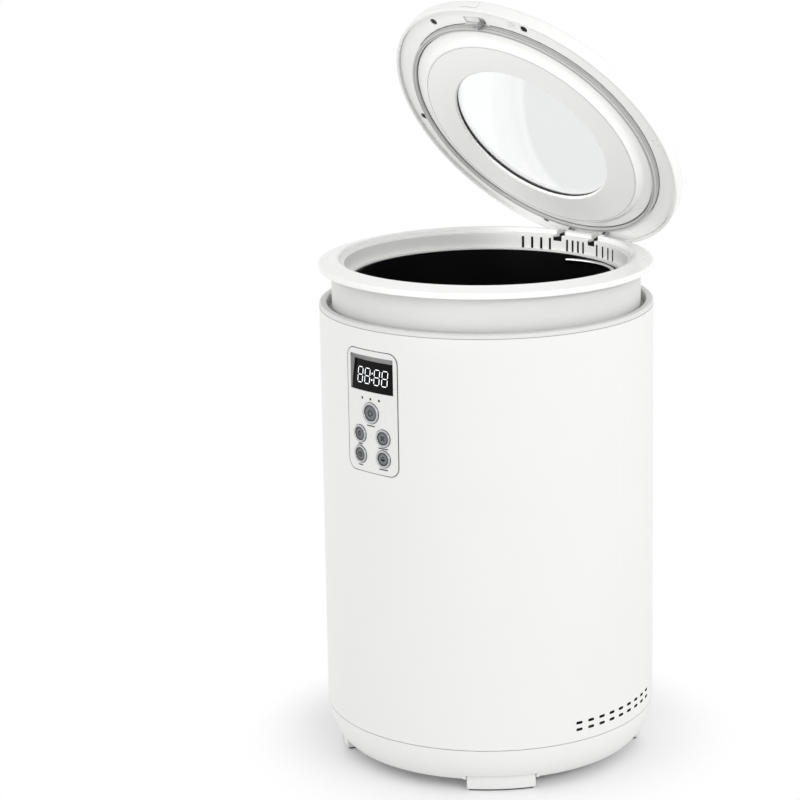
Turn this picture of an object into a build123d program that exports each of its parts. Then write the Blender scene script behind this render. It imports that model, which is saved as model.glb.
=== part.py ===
from build123d import *
from math import acos, asin, atan2, cos, degrees, hypot, pi, radians, sin, sqrt, tan
import os

os.makedirs("parts", exist_ok=True)

# Electric food waste composter, in millimetres. The origin is on the floor under the axis of
# the round body, +Z is up, the control panel faces -Y and the lid's hinge is at +Y.
# Heights start at the floor and radii at the body's axis, unless a comment says otherwise.
# Angles round the body start at the front (-Y) and grow towards +X, in degrees.

# ---- driving dimensions: outside ----
body_r = 145.0            # outer sleeve at its top edge
body_flare = 1.4          # the sleeve is this much wider at its foot
sleeve_wall = 2.2
sleeve_h = 359.0
foot_h = 11.0             # floor to the underside of the base
base_h = 31.0             # underside of the base to the seam
base_tuck = 12.3          # how far the base draws in at its underside
base_wall = 2.6
seam_gap = 0.6            # shadow gap between base and sleeve
spigot_h = 8.0            # base spigot inside the sleeve
fit_gap = 0.2             # gap between fixed round pieces that nest
free_gap = 0.4            # gap beside pieces that move
foot_w = 60.0             # width of a foot along the edge of the base
foot_depth = 22.0         # of a foot, inwards
foot_rise = 15.0          # top of a foot's outer face
pad_h = 1.4               # rubber pad under each foot
foot_angles = (45.0, 135.0, 225.0, 315.0)
trim_h = 4.0              # ring on the sleeve's top edge
trim_lip_w = 6.5
gutter_w = 4.4            # open gutter between trim ring and neck
gutter_depth = 8.6
neck_show = 33.4          # neck between the sleeve's edge and the collar
neck_wall = 2.4
collar_edge_h = 4.6       # upright outer edge of the collar
collar_crown = 4.5        # rise of the collar from its outer edge to the mouth
collar_wall = 2.4
collar_w = 17.4           # width of the collar's top, body edge to mouth
skirt_h = 5.1             # collar wall inside the mouth

# ---- driving dimensions: well and bucket ----
well_step = 5.1           # the liner stands this far inside the mouth
liner_wall = 2.2
ledge_depth = 18.5        # mouth edge to the ledge round the bucket's rim
ledge_w = 5.1             # liner to the bucket's rim
bucket_rim_drop = 1.0     # the rim lies this far under the ledge
bucket_rim_t = 3.0
bucket_wall = 1.8
bucket_rim_w = 2.0        # the rim stands out this far
bucket_draft = 7.4        # the bucket narrows by this much to its bottom
bucket_floor = 226.0      # height of the bucket's underside
heater_t = 7.0
pan_t = 3.0               # sheet pan that carries the heater
well_wall = 1.6           # aluminium sleeve of the well
blanket_t = 6.0           # insulation round the well
slot_w = 2.2              # air slots in the liner
slot_h = 10.5
slot_groups = ((-19.0, 4.1), (0.0, 2.9), (19.0, 4.1))   # group angle off the back, slot pitch
slots_per_group = 4
bail_wire = 3.6
bail_inset = 3.0          # middle of the bail's wire to the bucket's wall
bail_turn = -90.0         # the bail's middle is this far round from the back
bail_drop = 4.0           # pivots of the bail below the bucket's rim
grip_r = 4.6
grip_sweep = 42.0

# ---- driving dimensions: lid ----
lid_open = 52.4           # angle at which the sprung lid rests open
lid_inset = 2.7           # the lid's edge inside the collar's
lid_h = 13.8              # rim plane to the shoulder of the lid
lid_crown = 1.3           # more height at the window's edge
lid_wall = 2.2
lid_gap = 2.6             # collar edge to the lid's rim plane
rim_lip = 2.9             # width of the lid's rim
recess = 2.8              # underside plate above the rim plane
plate_t = 2.2
seal_lap = 0.9            # the seal reaches this far over the step of the well
seal_w = 3.8
seal_gap = 0.3            # closed seal to the step of the well
panel_inset = 13.0        # seal to the lower face of the inner panel
panel_drop = 6.5          # inner panel below the rim plane
panel_wall = 2.2
panel_rise = 3.1          # radial width of the inner panel's sloping side
flange_drop = 0.6         # its outer flange below the rim plane
panel_face_w = 30.6       # lower face of the inner panel, from its edge to the window
funnel_w = 20.0           # the cover's funnel is this much wider at its top than the window
glass_t = 3.4
glass_lap = 4.0           # the glass reaches this far past the window's edge
gasket_t = 2.0
screw_angles = (-22.5, 22.5, 90.0, 157.5, 202.5, 270.0)
screw_inset = 7.3         # lid screws from the rim's inner edge
bumper_angle = 17.0
hinge_out = 6.9           # hinge axis behind the mouth's edge
hinge_drop = 18.3         # hinge axis below the mouth edge
pin_r = 2.5
run_gap = 0.05            # radial running fit of pins and shafts
arm_x = 19.5              # hinge arms each side of the middle
arm_t = 3.2
arm_w = 4.6
arm_lean = 8.3            # arm's upright leg in front of the hinge axis
arm_gap = 2.6             # room beside each arm
bracket_w = 66.0
latch_x = -0.5            # middle of the latch opening
latch_w = 23.0
latch_in = 0.3            # latch opening outside the seal
latch_deep = 7.7          # latch opening, inwards from its outer edge
tab_w = 18.0
tab_h = 6.0
latch_travel = 1.6
hook_t = 1.6
hook_w = 5.0
hook_bite = 1.3           # the hook reaches this far under the collar

# ---- driving dimensions: control panel and vents ----
panel_turn = -0.8         # middle of the panel off the front, in degrees
panel_w = 58.4
panel_h = 106.5
panel_z = 331.0           # middle of the panel
panel_round = 9.0
panel_groove = 0.7
display_w = 47.2
display_h = 25.0
display_z = 361.0
bevel_top = 5.2
bevel_side = 2.0
display_deep = 4.0        # depth of the display at its top edge
display_shallow = 0.8     # and at its bottom edge
display_half = 20.0       # half angle of the sector that holds the display
window_t = 1.6
main_key_r = 6.6
main_ring_r = 9.0
main_key_z = 330.2
key_r = 5.4
key_ring_r = 7.5
key_side = 13.3           # keys each side of the middle
key_rows = (310.4, 292.5)
key_travel = 0.8
key_proud = 0.9
ring_proud = 1.2
lamp_side = 9.7
lamp_z = 342.2
lamp_r = 1.1
vent_angle = 92.0
vent_pitch = 4.87
vents_per_row = 9
vent_w = 6.5
vent_h = 2.5
vent_rows = (58.6, 52.5)

# ---- driving dimensions: drive, air path and electrics ----
pressure_angle = 20.0
backlash = 0.25
out_module = 2.0
out_teeth = 40
idler_pinion_teeth = 14
in_module = 1.5
idler_teeth = 44
motor_teeth = 14
gear_face = 9.0
gear_gap = 3.0            # between gears stacked on one axis
case_wall = 3.0
case_clear = 3.0          # case to gear tips
idler_bearing = -60.0     # direction of the idler from the output shaft, from +X
motor_bearing = 160.0     # direction of the motor from the idler
out_shaft_r = 8.0
idler_pin_r = 4.0
motor_shaft_r = 3.0
motor_r = 30.0
motor_h = 72.0
hex_r = 7.5               # corners of the hexagon that drives the spindle
spindle_r = 7.0
chassis_z = 110.0         # underside of the chassis plate
chassis_t = 3.0
post_r = 6.0
post_inset = 16.1         # posts inside the base's lower edge
hub_r = 15.0
hub_h = 72.0
blade_gap = 4.2           # blade tips to the bucket's wall
blade_h = 20.0
blade_t = 5.0
duct_depth = 14.0
duct_half = 20.0          # half angle of the duct
duct_wall = 1.6
blower_r = 37.0
blower_h = 30.0
blower_in = 60.8          # blower's axis inside the sleeve
blower_inlet_r = 16.0
filter_w = 84.0
filter_h = 53.0
filter_d = 46.0
cover_h = 58.0
cover_z = 140.0
inlet_w = 50.0
inlet_h = 28.0
inlet_z = 68.0
fan_size = 60.0
fan_t = 15.0
fan_z = 44.0

# ---- driving dimensions: small features ----
foot_round = 1.2
pad_inset = 2.0
floor_hole_r = 2.2
floor_rings = ((24.0, 12), (36.0, 18), (48.0, 24))
cover_w = 84.0
cover_lap = 6.0           # the filter cover laps over the sleeve's opening
cover_round = 5.0
cover_t = 1.8
inlet_round = 3.0
bracket_drop = 11.0       # underside of the hinge bracket below the hinge axis
bracket_back = 4.0
notch_drop = 2.9          # arm notches below the collar's skirt
arm_dip = 5.0             # arm notches in the liner
lip_h = 10.0              # liner lip over the well sleeve
hook_depth = 3.8          # hook below the collar's skirt
tooth_head = 0.9          # in modules
tooth_foot = 1.2
fan_post_gap = 4.36       # post to the fan beside it
pan_hole_r = 18.0
pan_leg_in = 9.8          # pan legs inside the well sleeve
pan_turn = 12.0           # pan legs round from the base's posts
heater_in_r = 22.0
groove_r = 70.0
elbow_w = 40.0
elbow_h = 14.0
axle_r = 2.5
impeller_blades = 16
filter_stand = 8.0        # filter inside the sleeve
louvre_rows = 7
louvre_pitch = 6.0
louvre_w = 30.0
louvre_h = 2.8
louvre_side = 6.8         # degrees each side of the middle
flange_t = 2.5
inlet_depth = 22.0
socket_w = 24.5
socket_h = 16.5
socket_round = 2.0
inlet_proud = 0.3         # inlet's face beyond the sleeve
pin_len = 15.0
pin_w = 2.0
pin_h = 4.0
pin_side = 7.0            # outer pins each side of the middle
pin_low = 1.5             # outer pins below the middle
pin_high = 2.5            # earth pin above it
tray_edge = 4.0           # frame round the filter's outlet face
tray_depth = 3.0
bearing_h = 6.0
hex_below = 6.0           # top of the driving hexagon below the pan
motor_boss_r = 8.0
motor_round = 3.0
shaft_in_motor = 14.0
cable_in = 10.1           # cable holes inside the base's lower edge
cable_angles = (55.0, 145.0, 235.0, 325.0)
cable_hole_r = 7.0
fan_in = 33.0             # back of the fan inside the sleeve's face
fan_blades = 7
fan_pitch = 32.0
board_in = 42.1           # power board's outer edge inside the base's lower edge
board_front = 4.0         # its front edge behind the body's axis
board_w = 54.0
board_d = 58.0
board_t = 1.6
board_stand = 6.0
board_inset = 6.0
coil_size = 18.0          # transformer on the power board
can_r = 6.0               # three capacitors beside it
can_h = 21.6
can_pitch = 16.2
ctrl_in = 17.0            # back of the control board inside the sleeve's face
ctrl_t = 1.6
ctrl_w = 52.0
ctrl_h = 100.0
switch_w = 6.0
switch_h = 3.9
module_h = 6.6            # display module on the control board
panel_proud = 0.25
panel_skin = 3.0
panel_lap = 4.0           # the panel's hidden rim reaches this far behind the sleeve
frame_depth = 9.0         # frame behind the display
ring_sink = 1.2
key_play = 0.3
stem_r = 2.4
eye_r = 5.0               # hinge eyes
spring_coil_r = 3.9
spring_wire_r = 0.55
spring_pitch = 1.7
spring_w = 22.0
lid_round = 5.0
rim_round = 1.2
cross_t = 1.6             # steel cross plate of the hinge arms
cross_in = 14.0           # cross plate reaches this far in front of the arms
step_t = 2.0              # raised inner edge of the underside plate
step_w = 8.6
screw_head_r = 3.0
screw_r = 1.4
screw_play = 0.4
boss_r = 3.4
bumper_r = 3.0
ridge_t = 0.7
relief_steps = 8          # straight pieces each side in the collar's relief at the hinge
slider_lift = 0.3         # latch slider above the underside plate
slider_t = 2.4
slider_w = 26.0
finger_t = 1.0
finger_w = 11.0
pad_drop = 1.9            # tongue of the slider, down into the latch opening
bush_r = 10.0
bush_h = 10.2             # bush above the bucket's floor
bush_drop = 4.0           # and below its underside
bush_flange_r = 13.0
bush_flange_t = 3.0
cup_r = 11.0
cup_h = 16.0
hex_lap = 12.0            # the driving hexagon reaches this far into the cup
socket_gap = 0.6
agitator_arms = 3
arm_tilt = 15.0
scraper_w = 6.0
scraper_h = 68.0
lug_w = 9.0
switch_back = 1.0
switch_body_w = 13.0
switch_body_h = 13.0

# ---- heights and radii that follow ----
z_seam = foot_h + base_h
z_rim = z_seam + sleeve_h
z_trim = z_rim + trim_h
z_collar = z_rim + neck_show
z_edge = z_collar + collar_edge_h
z_mouth = z_edge + collar_crown
z_skirt = z_mouth - skirt_h
z_ledge = z_mouth - ledge_depth
z_hinge = z_mouth - hinge_drop
z_lid = z_edge + lid_gap
neck_r = body_r - trim_lip_w - gutter_w
neck_in_r = neck_r - neck_wall
collar_r = body_r
mouth_r = collar_r - collar_w
liner_r = mouth_r - well_step
liner_out_r = liner_r + liner_wall
sleeve_in_r = body_r - sleeve_wall
z_deck = z_trim - gutter_depth
deck_t = 2.4
z_bucket_rim = z_ledge - bucket_rim_drop
bucket_rim_r = liner_r - ledge_w
bucket_top_r = bucket_rim_r - bucket_rim_w
bucket_bottom_r = bucket_top_r - bucket_draft
blade_reach = bucket_bottom_r - bucket_wall - blade_gap
ledge_r = bucket_rim_r + free_gap
well_r = ledge_r + free_gap
well_out_r = well_r + well_wall
z_pan = bucket_floor - heater_t - pan_t
z_case = chassis_z + chassis_t
hinge_back = mouth_r + hinge_out      # hinge axis behind the body's axis
lid_r = collar_r - lid_inset
plate_out_r = lid_r - rim_lip - fit_gap
seal_r = liner_r + seal_lap
seal_in_r = seal_r - seal_w
z_seal = z_skirt + seal_gap
panel_r = seal_in_r - panel_inset     # lower face of the inner panel
window_r = panel_r - panel_face_w
funnel_r = window_r + funnel_w
latch_in_r = seal_r + latch_in        # latch opening, inner and outer edge
latch_out_r = latch_in_r + latch_deep


def body_radius(z):
    """Outer radius of the flared sleeve at a height."""
    return body_r + body_flare * (z_rim - z) / sleeve_h


def polar(angle, r, z):
    """Plane at an angle round the body: x runs along the surface, y up, z outwards."""
    a = radians(angle)
    return Plane(origin=(r * sin(a), -r * cos(a), z), x_dir=(cos(a), sin(a), 0),
                 z_dir=(sin(a), -cos(a), 0))


def turned(points, rounds=(), middle=None, half=180.0):
    """Solid of revolution through (radius, height) points, whole or a sector about an angle.
    Each entry of rounds is a point and the radius that rounds its corner."""
    face = make_face(Plane.XZ * Polyline(*points, close=True))
    for (r, z), radius in rounds:
        corner = face.vertices().sort_by_distance(Vector(r, 0, z))[0]
        face = fillet(corner, radius)
    if middle is None:
        return revolve(face, Axis.Z)
    sector = revolve(face, Axis.Z, 2 * half)
    return sector.rotate(Axis.Z, middle - 90 - half)


def tube(r_out, r_in, z0, z1):
    """Upright ring between two heights."""
    return Pos(0, 0, z0) * extrude(Circle(r_out) - Circle(r_in), z1 - z0)


def rod(r, z0, z1, x=0.0, y=0.0):
    """Upright round bar between two heights."""
    return Pos(x, y, z0) * extrude(Circle(r), z1 - z0)


def block(x0, x1, y0, y1, z0, z1):
    """Square-cornered box between its low and high corners."""
    size = (x1 - x0, y1 - y0, z1 - z0)
    return Pos((x0 + x1) / 2, (y0 + y1) / 2, (z0 + z1) / 2) * Box(*size)


def prism(angle, r, z, width, height, depth, radius=0.0):
    """Bar with a rectangular section that points outwards from radius r."""
    outline = RectangleRounded(width, height, radius) if radius else Rectangle(width, height)
    return extrude(polar(angle, r, z) * outline, depth)


def save(name, *solids):
    """Write one node, made of one or more separate solids."""
    flat = []
    for item in solids:
        flat += item.solids()
    shape = flat[0] if len(flat) == 1 else Compound(children=flat)
    export_step(shape, f"parts/{name}.step")


def opened(item):
    """Swing a piece of the closed lid to its open rest position."""
    axis = Axis((0, hinge_back, z_hinge), (1, 0, 0))
    return item.rotate(axis, -lid_open)


def rim_edges(item, plane):
    """Round edges of an item that lie in a plane."""
    return [e for e in item.edges().filter_by(GeomType.CIRCLE)
            if abs(plane.to_local_coords(e.arc_center).Z) < 0.01]


def cross_rod(r, x0, x1, y, z):
    """Round bar along X."""
    return extrude(Plane(origin=(x0, y, z), z_dir=(1, 0, 0)) * Circle(r), x1 - x0)


def at_ring(r, angle):
    """Point on a circle round the body, at an angle from the front."""
    return (r * sin(radians(angle)), -r * cos(radians(angle)))


def gear(teeth, module, face_w, z0, phase=0.0):
    """Spur gear with involute flanks and one tooth centred on the angle phase, from +X."""
    pitch_r = module * teeth / 2
    base_r = pitch_r * cos(radians(pressure_angle))
    tip_r = pitch_r + tooth_head * module
    root_r = pitch_r - tooth_foot * module
    half_pitch = (pi * module / 2 - backlash) / 2 / pitch_r

    def involute(r):
        a = acos(min(1.0, base_r / r))
        return tan(a) - a

    radii = [root_r] + [r for r in (base_r, (base_r + pitch_r) / 2, pitch_r,
                                    (pitch_r + tip_r) / 2) if r > root_r + 0.05] + [tip_r]
    flank = [(r, half_pitch + involute(pitch_r) - involute(r)) for r in radii]
    points = []
    for i in range(teeth):
        middle = radians(phase) + 2 * pi * i / teeth
        points += [(r * cos(middle - a), r * sin(middle - a)) for r, a in flank]
        points += [(r * cos(middle + a), r * sin(middle + a)) for r, a in reversed(flank)]
    return Pos(0, 0, z0) * extrude(make_face(Polyline(*points, close=True)), face_w)


# ---- base, feet and sleeve ----
base_bottom_r = body_radius(z_seam) - base_tuck
post_ring = base_bottom_r - post_inset
post_angle = vent_angle - 90 + degrees(asin((fan_size / 2 + post_r + fan_post_gap) / post_ring))
base_top_r = body_radius(z_seam)
spigot_r = body_radius(z_seam + spigot_h) - sleeve_wall - free_gap
z_base_top = z_seam - seam_gap / 2
z_floor = foot_h + base_wall
foot_in_r = base_bottom_r - foot_depth
foot_half = degrees(asin(foot_w / 2 / base_bottom_r))


def foot_block(angle, grow=0.0):
    """Curved block of one foot, or the pocket that it sits in when grown."""
    z_low = foot_h - base_wall if grow else pad_h
    r_out = base_top_r if grow else base_bottom_r
    return turned([(foot_in_r - grow, z_low), (r_out, z_low), (r_out, foot_rise + grow),
                   (foot_in_r - grow, foot_rise + grow)],
                  middle=angle, half=foot_half + degrees(grow / base_bottom_r))


def foot_hood(angle):
    """Raised roof over one foot's pocket, inside the base."""
    r_in, r_out = foot_in_r - base_wall, base_bottom_r + base_wall / 2
    z_roof = foot_rise + fit_gap + base_wall
    return turned([(r_in, foot_h), (r_out, foot_h), (r_out, z_roof), (r_in, z_roof)],
                  middle=angle, half=foot_half + degrees(base_wall / base_bottom_r))


def foot(angle):
    """Foot with its lower edge rounded."""
    shape = foot_block(angle)
    low = [e for e in shape.edges() if abs(e.center().Z - pad_h) < 0.01]
    upright = [e for e in shape.edges().filter_by(Axis.Z)]
    outer = sorted(upright, key=lambda e: hypot(e.center().X, e.center().Y))[-2:]
    return fillet(low + outer, foot_round)


def foot_pad(angle):
    """Rubber pad under one foot."""
    r_in, r_out = foot_in_r + pad_inset, base_bottom_r - pad_inset
    return turned([(r_in, 0), (r_out, 0), (r_out, pad_h), (r_in, pad_h)],
                  middle=angle, half=foot_half - degrees(pad_inset / base_bottom_r))


def floor_holes():
    """Air holes in the base's floor, on rings under the motor."""
    places = [(r * cos(2 * pi * i / n), r * sin(2 * pi * i / n))
              for r, n in floor_rings for i in range(n)]
    return [rod(floor_hole_r, foot_h - 1, z_floor + 1, x, y) for x, y in places]


def base_tray():
    """Round tray with a drawn-in wall, floor, spigot and posts for the chassis plate."""
    z_inner = foot_h + base_h / 2
    side = TangentArc((base_top_r, z_base_top), (base_bottom_r, foot_h), tangent=(0, -1))
    rest = Polyline((base_bottom_r, foot_h), (0, foot_h), (0, z_floor),
                    (base_bottom_r - base_wall, z_floor), (spigot_r - base_wall, z_inner),
                    (spigot_r - base_wall, z_seam + spigot_h), (spigot_r, z_seam + spigot_h),
                    (spigot_r, z_base_top), (base_top_r, z_base_top))
    tray = revolve(make_face(Plane.XZ * (side + rest)), Axis.Z)
    tray += [foot_hood(a) for a in foot_angles]
    tray -= [foot_block(a, fit_gap) for a in foot_angles]
    tray += [rod(post_r, z_floor - base_wall / 2, chassis_z, x, y) for x, y in posts(post_ring)]
    return tray - floor_holes()


def posts(ring, turn=0.0):
    """Four places on a ring, clear of the motor, the fan and the power board."""
    angles = [radians(post_angle + turn + 90 * i) for i in range(4)]
    return [(ring * sin(a), -ring * cos(a)) for a in angles]


def outer_sleeve():
    """Flared sleeve with its openings: panel, side vents, filter cover and power inlet."""
    z0 = z_seam + seam_gap / 2
    sleeve = turned([(body_radius(z0) - sleeve_wall, z0), (body_radius(z0), z0),
                     (body_r, z_rim), (sleeve_in_r, z_rim)])
    inside = body_r - 4 * sleeve_wall
    cuts = [prism(panel_turn, inside, panel_z, panel_w, panel_h, 6 * sleeve_wall, panel_round),
            prism(180, inside, cover_z, cover_w - 2 * cover_lap, cover_h - 2 * cover_lap,
                  6 * sleeve_wall, cover_round),
            prism(180, inside, inlet_z, inlet_w + 2 * fit_gap, inlet_h + 2 * fit_gap,
                  6 * sleeve_wall, inlet_round)]
    for i in range(vents_per_row):
        angle = vent_angle + (i - (vents_per_row - 1) / 2) * vent_pitch
        cuts += [prism(angle, inside, z, vent_w, vent_h, 6 * sleeve_wall, 0.48 * vent_h)
                 for z in vent_rows]
    return sleeve - cuts


def trim_ring():
    """Ring on the sleeve's top edge, with a rounded lip and the gutter's outer wall."""
    r_in, r_fit = neck_r + gutter_w, sleeve_in_r - fit_gap
    return turned([(r_in, z_deck), (r_fit, z_deck), (r_fit, z_rim), (body_r, z_rim),
                   (body_r, z_trim), (r_in, z_trim)],
                  rounds=[((body_r, z_trim), 0.5 * trim_h), ((r_in, z_trim), 0.35 * trim_h)])


save("base_tray", base_tray())
save("feet", *[foot(a) for a in foot_angles])
save("foot_pads", *[foot_pad(a) for a in foot_angles])
save("outer_sleeve", outer_sleeve())
save("trim_ring", trim_ring())


# ---- neck, collar and liner ----
flange_r = neck_in_r - fit_gap / 2
z_bracket = z_hinge - bracket_drop
z_bracket_top = z_skirt - liner_wall - fit_gap
bracket_in_y = liner_out_r + free_gap
bracket_out_y = hinge_back + bracket_back
arm_slot = arm_t + 2 * arm_gap
notch_z = z_skirt - notch_drop
lip_in_r = well_out_r + fit_gap


def collar_top(r):
    """Height of the collar's sloping top at a radius."""
    return z_edge + collar_crown * (collar_r - r) / (collar_r - mouth_r)


def arm_notches(z0):
    """Notches that the two hinge arms swing through, from a height upwards."""
    return [block(s * arm_x - arm_slot / 2, s * arm_x + arm_slot / 2, liner_r - well_step,
                  collar_r + lid_gap, z0, z_mouth + lid_gap) for s in (-1, 1)]


def hinge_relief():
    """What the seal sweeps over the collar's edge as the lid opens, with its clearance."""
    half = arm_x + arm_slot
    rise = z_seal + ridge_t - z_hinge
    low = []
    for i in range(-relief_steps, relief_steps + 1):
        x = half * i / relief_steps
        back = hinge_back - sqrt(seal_r**2 - x**2) + ridge_t
        low.append((x, hypot(back, rise) - ridge_t - free_gap))
    top = 2 * hinge_drop
    face = make_face(Plane(origin=(0, hinge_back, z_hinge), z_dir=(0, -1, 0), x_dir=(1, 0, 0))
                     * Polyline(*low, (half, top), (-half, top), close=True))
    return revolve(face, Axis((0, hinge_back, z_hinge), (1, 0, 0)), 90)


def neck_housing():
    """Neck between sleeve and collar, standing on its deck, open behind for the hinge."""
    neck = turned([(neck_r, z_deck), (neck_r, z_skirt), (neck_in_r, z_skirt),
                   (neck_in_r, z_deck - deck_t), (sleeve_in_r - fit_gap, z_deck - deck_t),
                   (sleeve_in_r - fit_gap, z_deck)])
    half = bracket_w / 2 + fit_gap
    return neck - block(-half, half, bracket_in_y, collar_r, z_bracket - fit_gap, z_mouth)


def collar_ring():
    """White ring round the mouth, a channel that is open below."""
    r_shoulder, r_skin = neck_r + fit_gap, collar_r - collar_wall
    ring = turned([(collar_r, z_collar), (collar_r, z_edge), (mouth_r, z_mouth),
                   (mouth_r, z_skirt), (r_shoulder, z_skirt),
                   (r_shoulder, collar_top(r_shoulder) - collar_wall),
                   (r_skin, collar_top(r_skin) - collar_wall), (r_skin, z_collar)],
                  rounds=[((collar_r, z_edge), 0.4 * collar_edge_h),
                          ((mouth_r, z_mouth), 0.45 * skirt_h)])
    return ring - arm_notches(notch_z) - hinge_relief()


def air_slots():
    """Upright slots at the back of the liner, in three groups."""
    cuts = []
    for group, pitch in slot_groups:
        for i in range(slots_per_group):
            angle = 180 + group + (i - (slots_per_group - 1) / 2) * pitch
            cuts.append(prism(angle, liner_r - liner_wall, z_ledge + slot_h / 2, slot_w, slot_h,
                              3 * liner_wall))
    return cuts


def hook_pocket():
    """Room for the latch hook, behind the collar's edge at the front."""
    return block(hook_x - hook_w / 2 - 2 * free_gap, hook_x + hook_w / 2 + 2 * free_gap,
                 -flange_r + fit_gap, -liner_r + liner_wall, z_hook - 2 * free_gap, z_mouth)


def liner():
    """Stepped liner: slotted band, ledge round the bucket and lip over the well."""
    z_lip = z_ledge - liner_wall
    lip_out_r = lip_in_r + liner_wall
    band = turned([(ledge_r, z_ledge), (liner_r, z_ledge), (liner_r, z_skirt),
                   (flange_r, z_skirt), (flange_r, z_skirt - liner_wall),
                   (liner_out_r, z_skirt - liner_wall), (liner_out_r, z_lip),
                   (lip_out_r, z_lip), (lip_out_r, z_lip - lip_h), (lip_in_r, z_lip - lip_h),
                   (lip_in_r, z_lip), (ledge_r, z_lip)],
                  rounds=[((liner_r, z_skirt), 0.4 * liner_wall)])
    return band - air_slots() - arm_notches(z_skirt - arm_dip) - hook_pocket()


# The hook's place is set by the lid, which comes further down.
hook_x = latch_x + latch_w / 2 - hook_w / 2 - 1.5
z_hook = z_skirt - hook_depth

save("neck_housing", neck_housing())
save("collar_ring", collar_ring())
save("liner", liner())


# ---- well, heater and air path ----
blower_back = sleeve_in_r - blower_in
pan_ring = well_out_r - pan_leg_in
blanket_in_r = well_out_r + fit_gap
blanket_out_r = blanket_in_r + blanket_t
duct_in_r = blanket_out_r + free_gap
duct_out_r = duct_in_r + duct_depth
duct_top_r = neck_in_r - fit_gap
z_well = z_ledge - liner_wall
z_duct_step = z_deck - deck_t - fit_gap
z_duct_top = z_bracket - 2 * fit_gap
z_filter = z_case + filter_h
z_blower = z_filter + blower_h


def well_sleeve():
    """Aluminium sleeve that warms the bucket's wall."""
    return tube(well_out_r, well_r, z_pan + pan_t, z_well)


def well_pan():
    """Sheet pan under the well, on four legs that stand on the chassis plate."""
    pan = tube(well_out_r, pan_hole_r, z_pan, z_pan + pan_t)
    pan += [rod(post_r, z_case, z_pan + pan_t / 2, x, y) for x, y in posts(pan_ring, pan_turn)]
    return pan


def heater_plate():
    """Cast heater plate under the bucket, with the ends of its element."""
    plate = turned([(heater_in_r, z_pan + pan_t), (bucket_bottom_r - pan_t, z_pan + pan_t),
                    (bucket_bottom_r - pan_t, bucket_floor), (heater_in_r, bucket_floor)],
                   rounds=[((bucket_bottom_r - pan_t, bucket_floor), 0.2 * heater_t)])
    groove = turned([(groove_r - 2, z_pan), (groove_r + 2, z_pan),
                     (groove_r + 2, z_pan + pan_t + 2), (groove_r - 2, z_pan + pan_t + 2)])
    return plate - groove


def blanket():
    """Insulation wrapped round the well sleeve."""
    return tube(blanket_out_r, blanket_in_r, z_pan, z_well - lip_h - pan_t)


def duct_form(t):
    """Outer form of the air duct, or the air space inside it when t is the duct's wall."""
    half = duct_half - degrees(t / duct_out_r)
    column = turned([(duct_in_r + t, z_blower + t), (duct_out_r - t, z_blower + t),
                     (duct_out_r - t, z_duct_step - t), (duct_top_r - t, z_duct_step - t),
                     (duct_top_r - t, z_duct_top + t), (duct_in_r + t, z_duct_top + t)],
                    middle=180, half=half)
    near = blower_back - blower_inlet_r - 2 * duct_wall
    elbow = block(t - elbow_w / 2, elbow_w / 2 - t, near + t, duct_in_r + duct_depth / 2,
                  z_blower + t, z_blower + elbow_h - t)
    return column + elbow


def exhaust_duct():
    """Duct from behind the liner's slots down to the blower."""
    inlet = rod(blower_inlet_r, z_blower - 1, z_blower + 2 * duct_wall, 0, blower_back)
    return duct_form(0) - duct_form(duct_wall) - inlet


def blower_housing():
    """Round blower case that stands on the filter, with its axle and two air holes."""
    case = rod(blower_r, z_filter, z_blower, 0, blower_back)
    case -= rod(blower_r - duct_wall, z_filter + duct_wall, z_blower - duct_wall, 0, blower_back)
    case -= rod(blower_inlet_r, z_blower - 2 * duct_wall, z_blower + 1, 0, blower_back)
    case -= block(-blower_inlet_r, blower_inlet_r, blower_back + 0.4 * blower_r,
                  blower_back + 0.8 * blower_r, z_filter - 1, z_filter + 2 * duct_wall)
    return case + rod(axle_r, z_filter + duct_wall / 2, z_blower - 3 * duct_wall, 0, blower_back)


def blower_impeller():
    """Forward-curved impeller with a back plate and a hub."""
    z0, z1 = z_filter + 3 * duct_wall, z_blower - 3 * duct_wall
    r_out = blower_r - 4 * duct_wall
    wheel = rod(r_out, z0, z0 + duct_wall) + rod(3 * axle_r, z0, z1)
    blade = Pos(0.82 * r_out, 0, z0) * Rot(0, 0, 28) * extrude(Rectangle(0.3 * r_out, 1.2), z1 - z0)
    wheel += [Rot(0, 0, 360 / impeller_blades * i) * blade for i in range(impeller_blades)]
    wheel -= rod(axle_r + run_gap, z0 - 1, z1 + 1)
    return Pos(0, blower_back, 0) * wheel


def carbon_filter():
    """Filter cartridge with a raised frame round its outlet face."""
    y1 = sleeve_in_r - filter_stand
    body = block(-filter_w / 2, filter_w / 2, y1 - filter_d, y1, z_case, z_filter)
    tray = block(tray_edge - filter_w / 2, filter_w / 2 - tray_edge, y1 - tray_depth, y1 + 1,
                 z_case + tray_edge, z_filter - tray_edge)
    return body - tray


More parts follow.
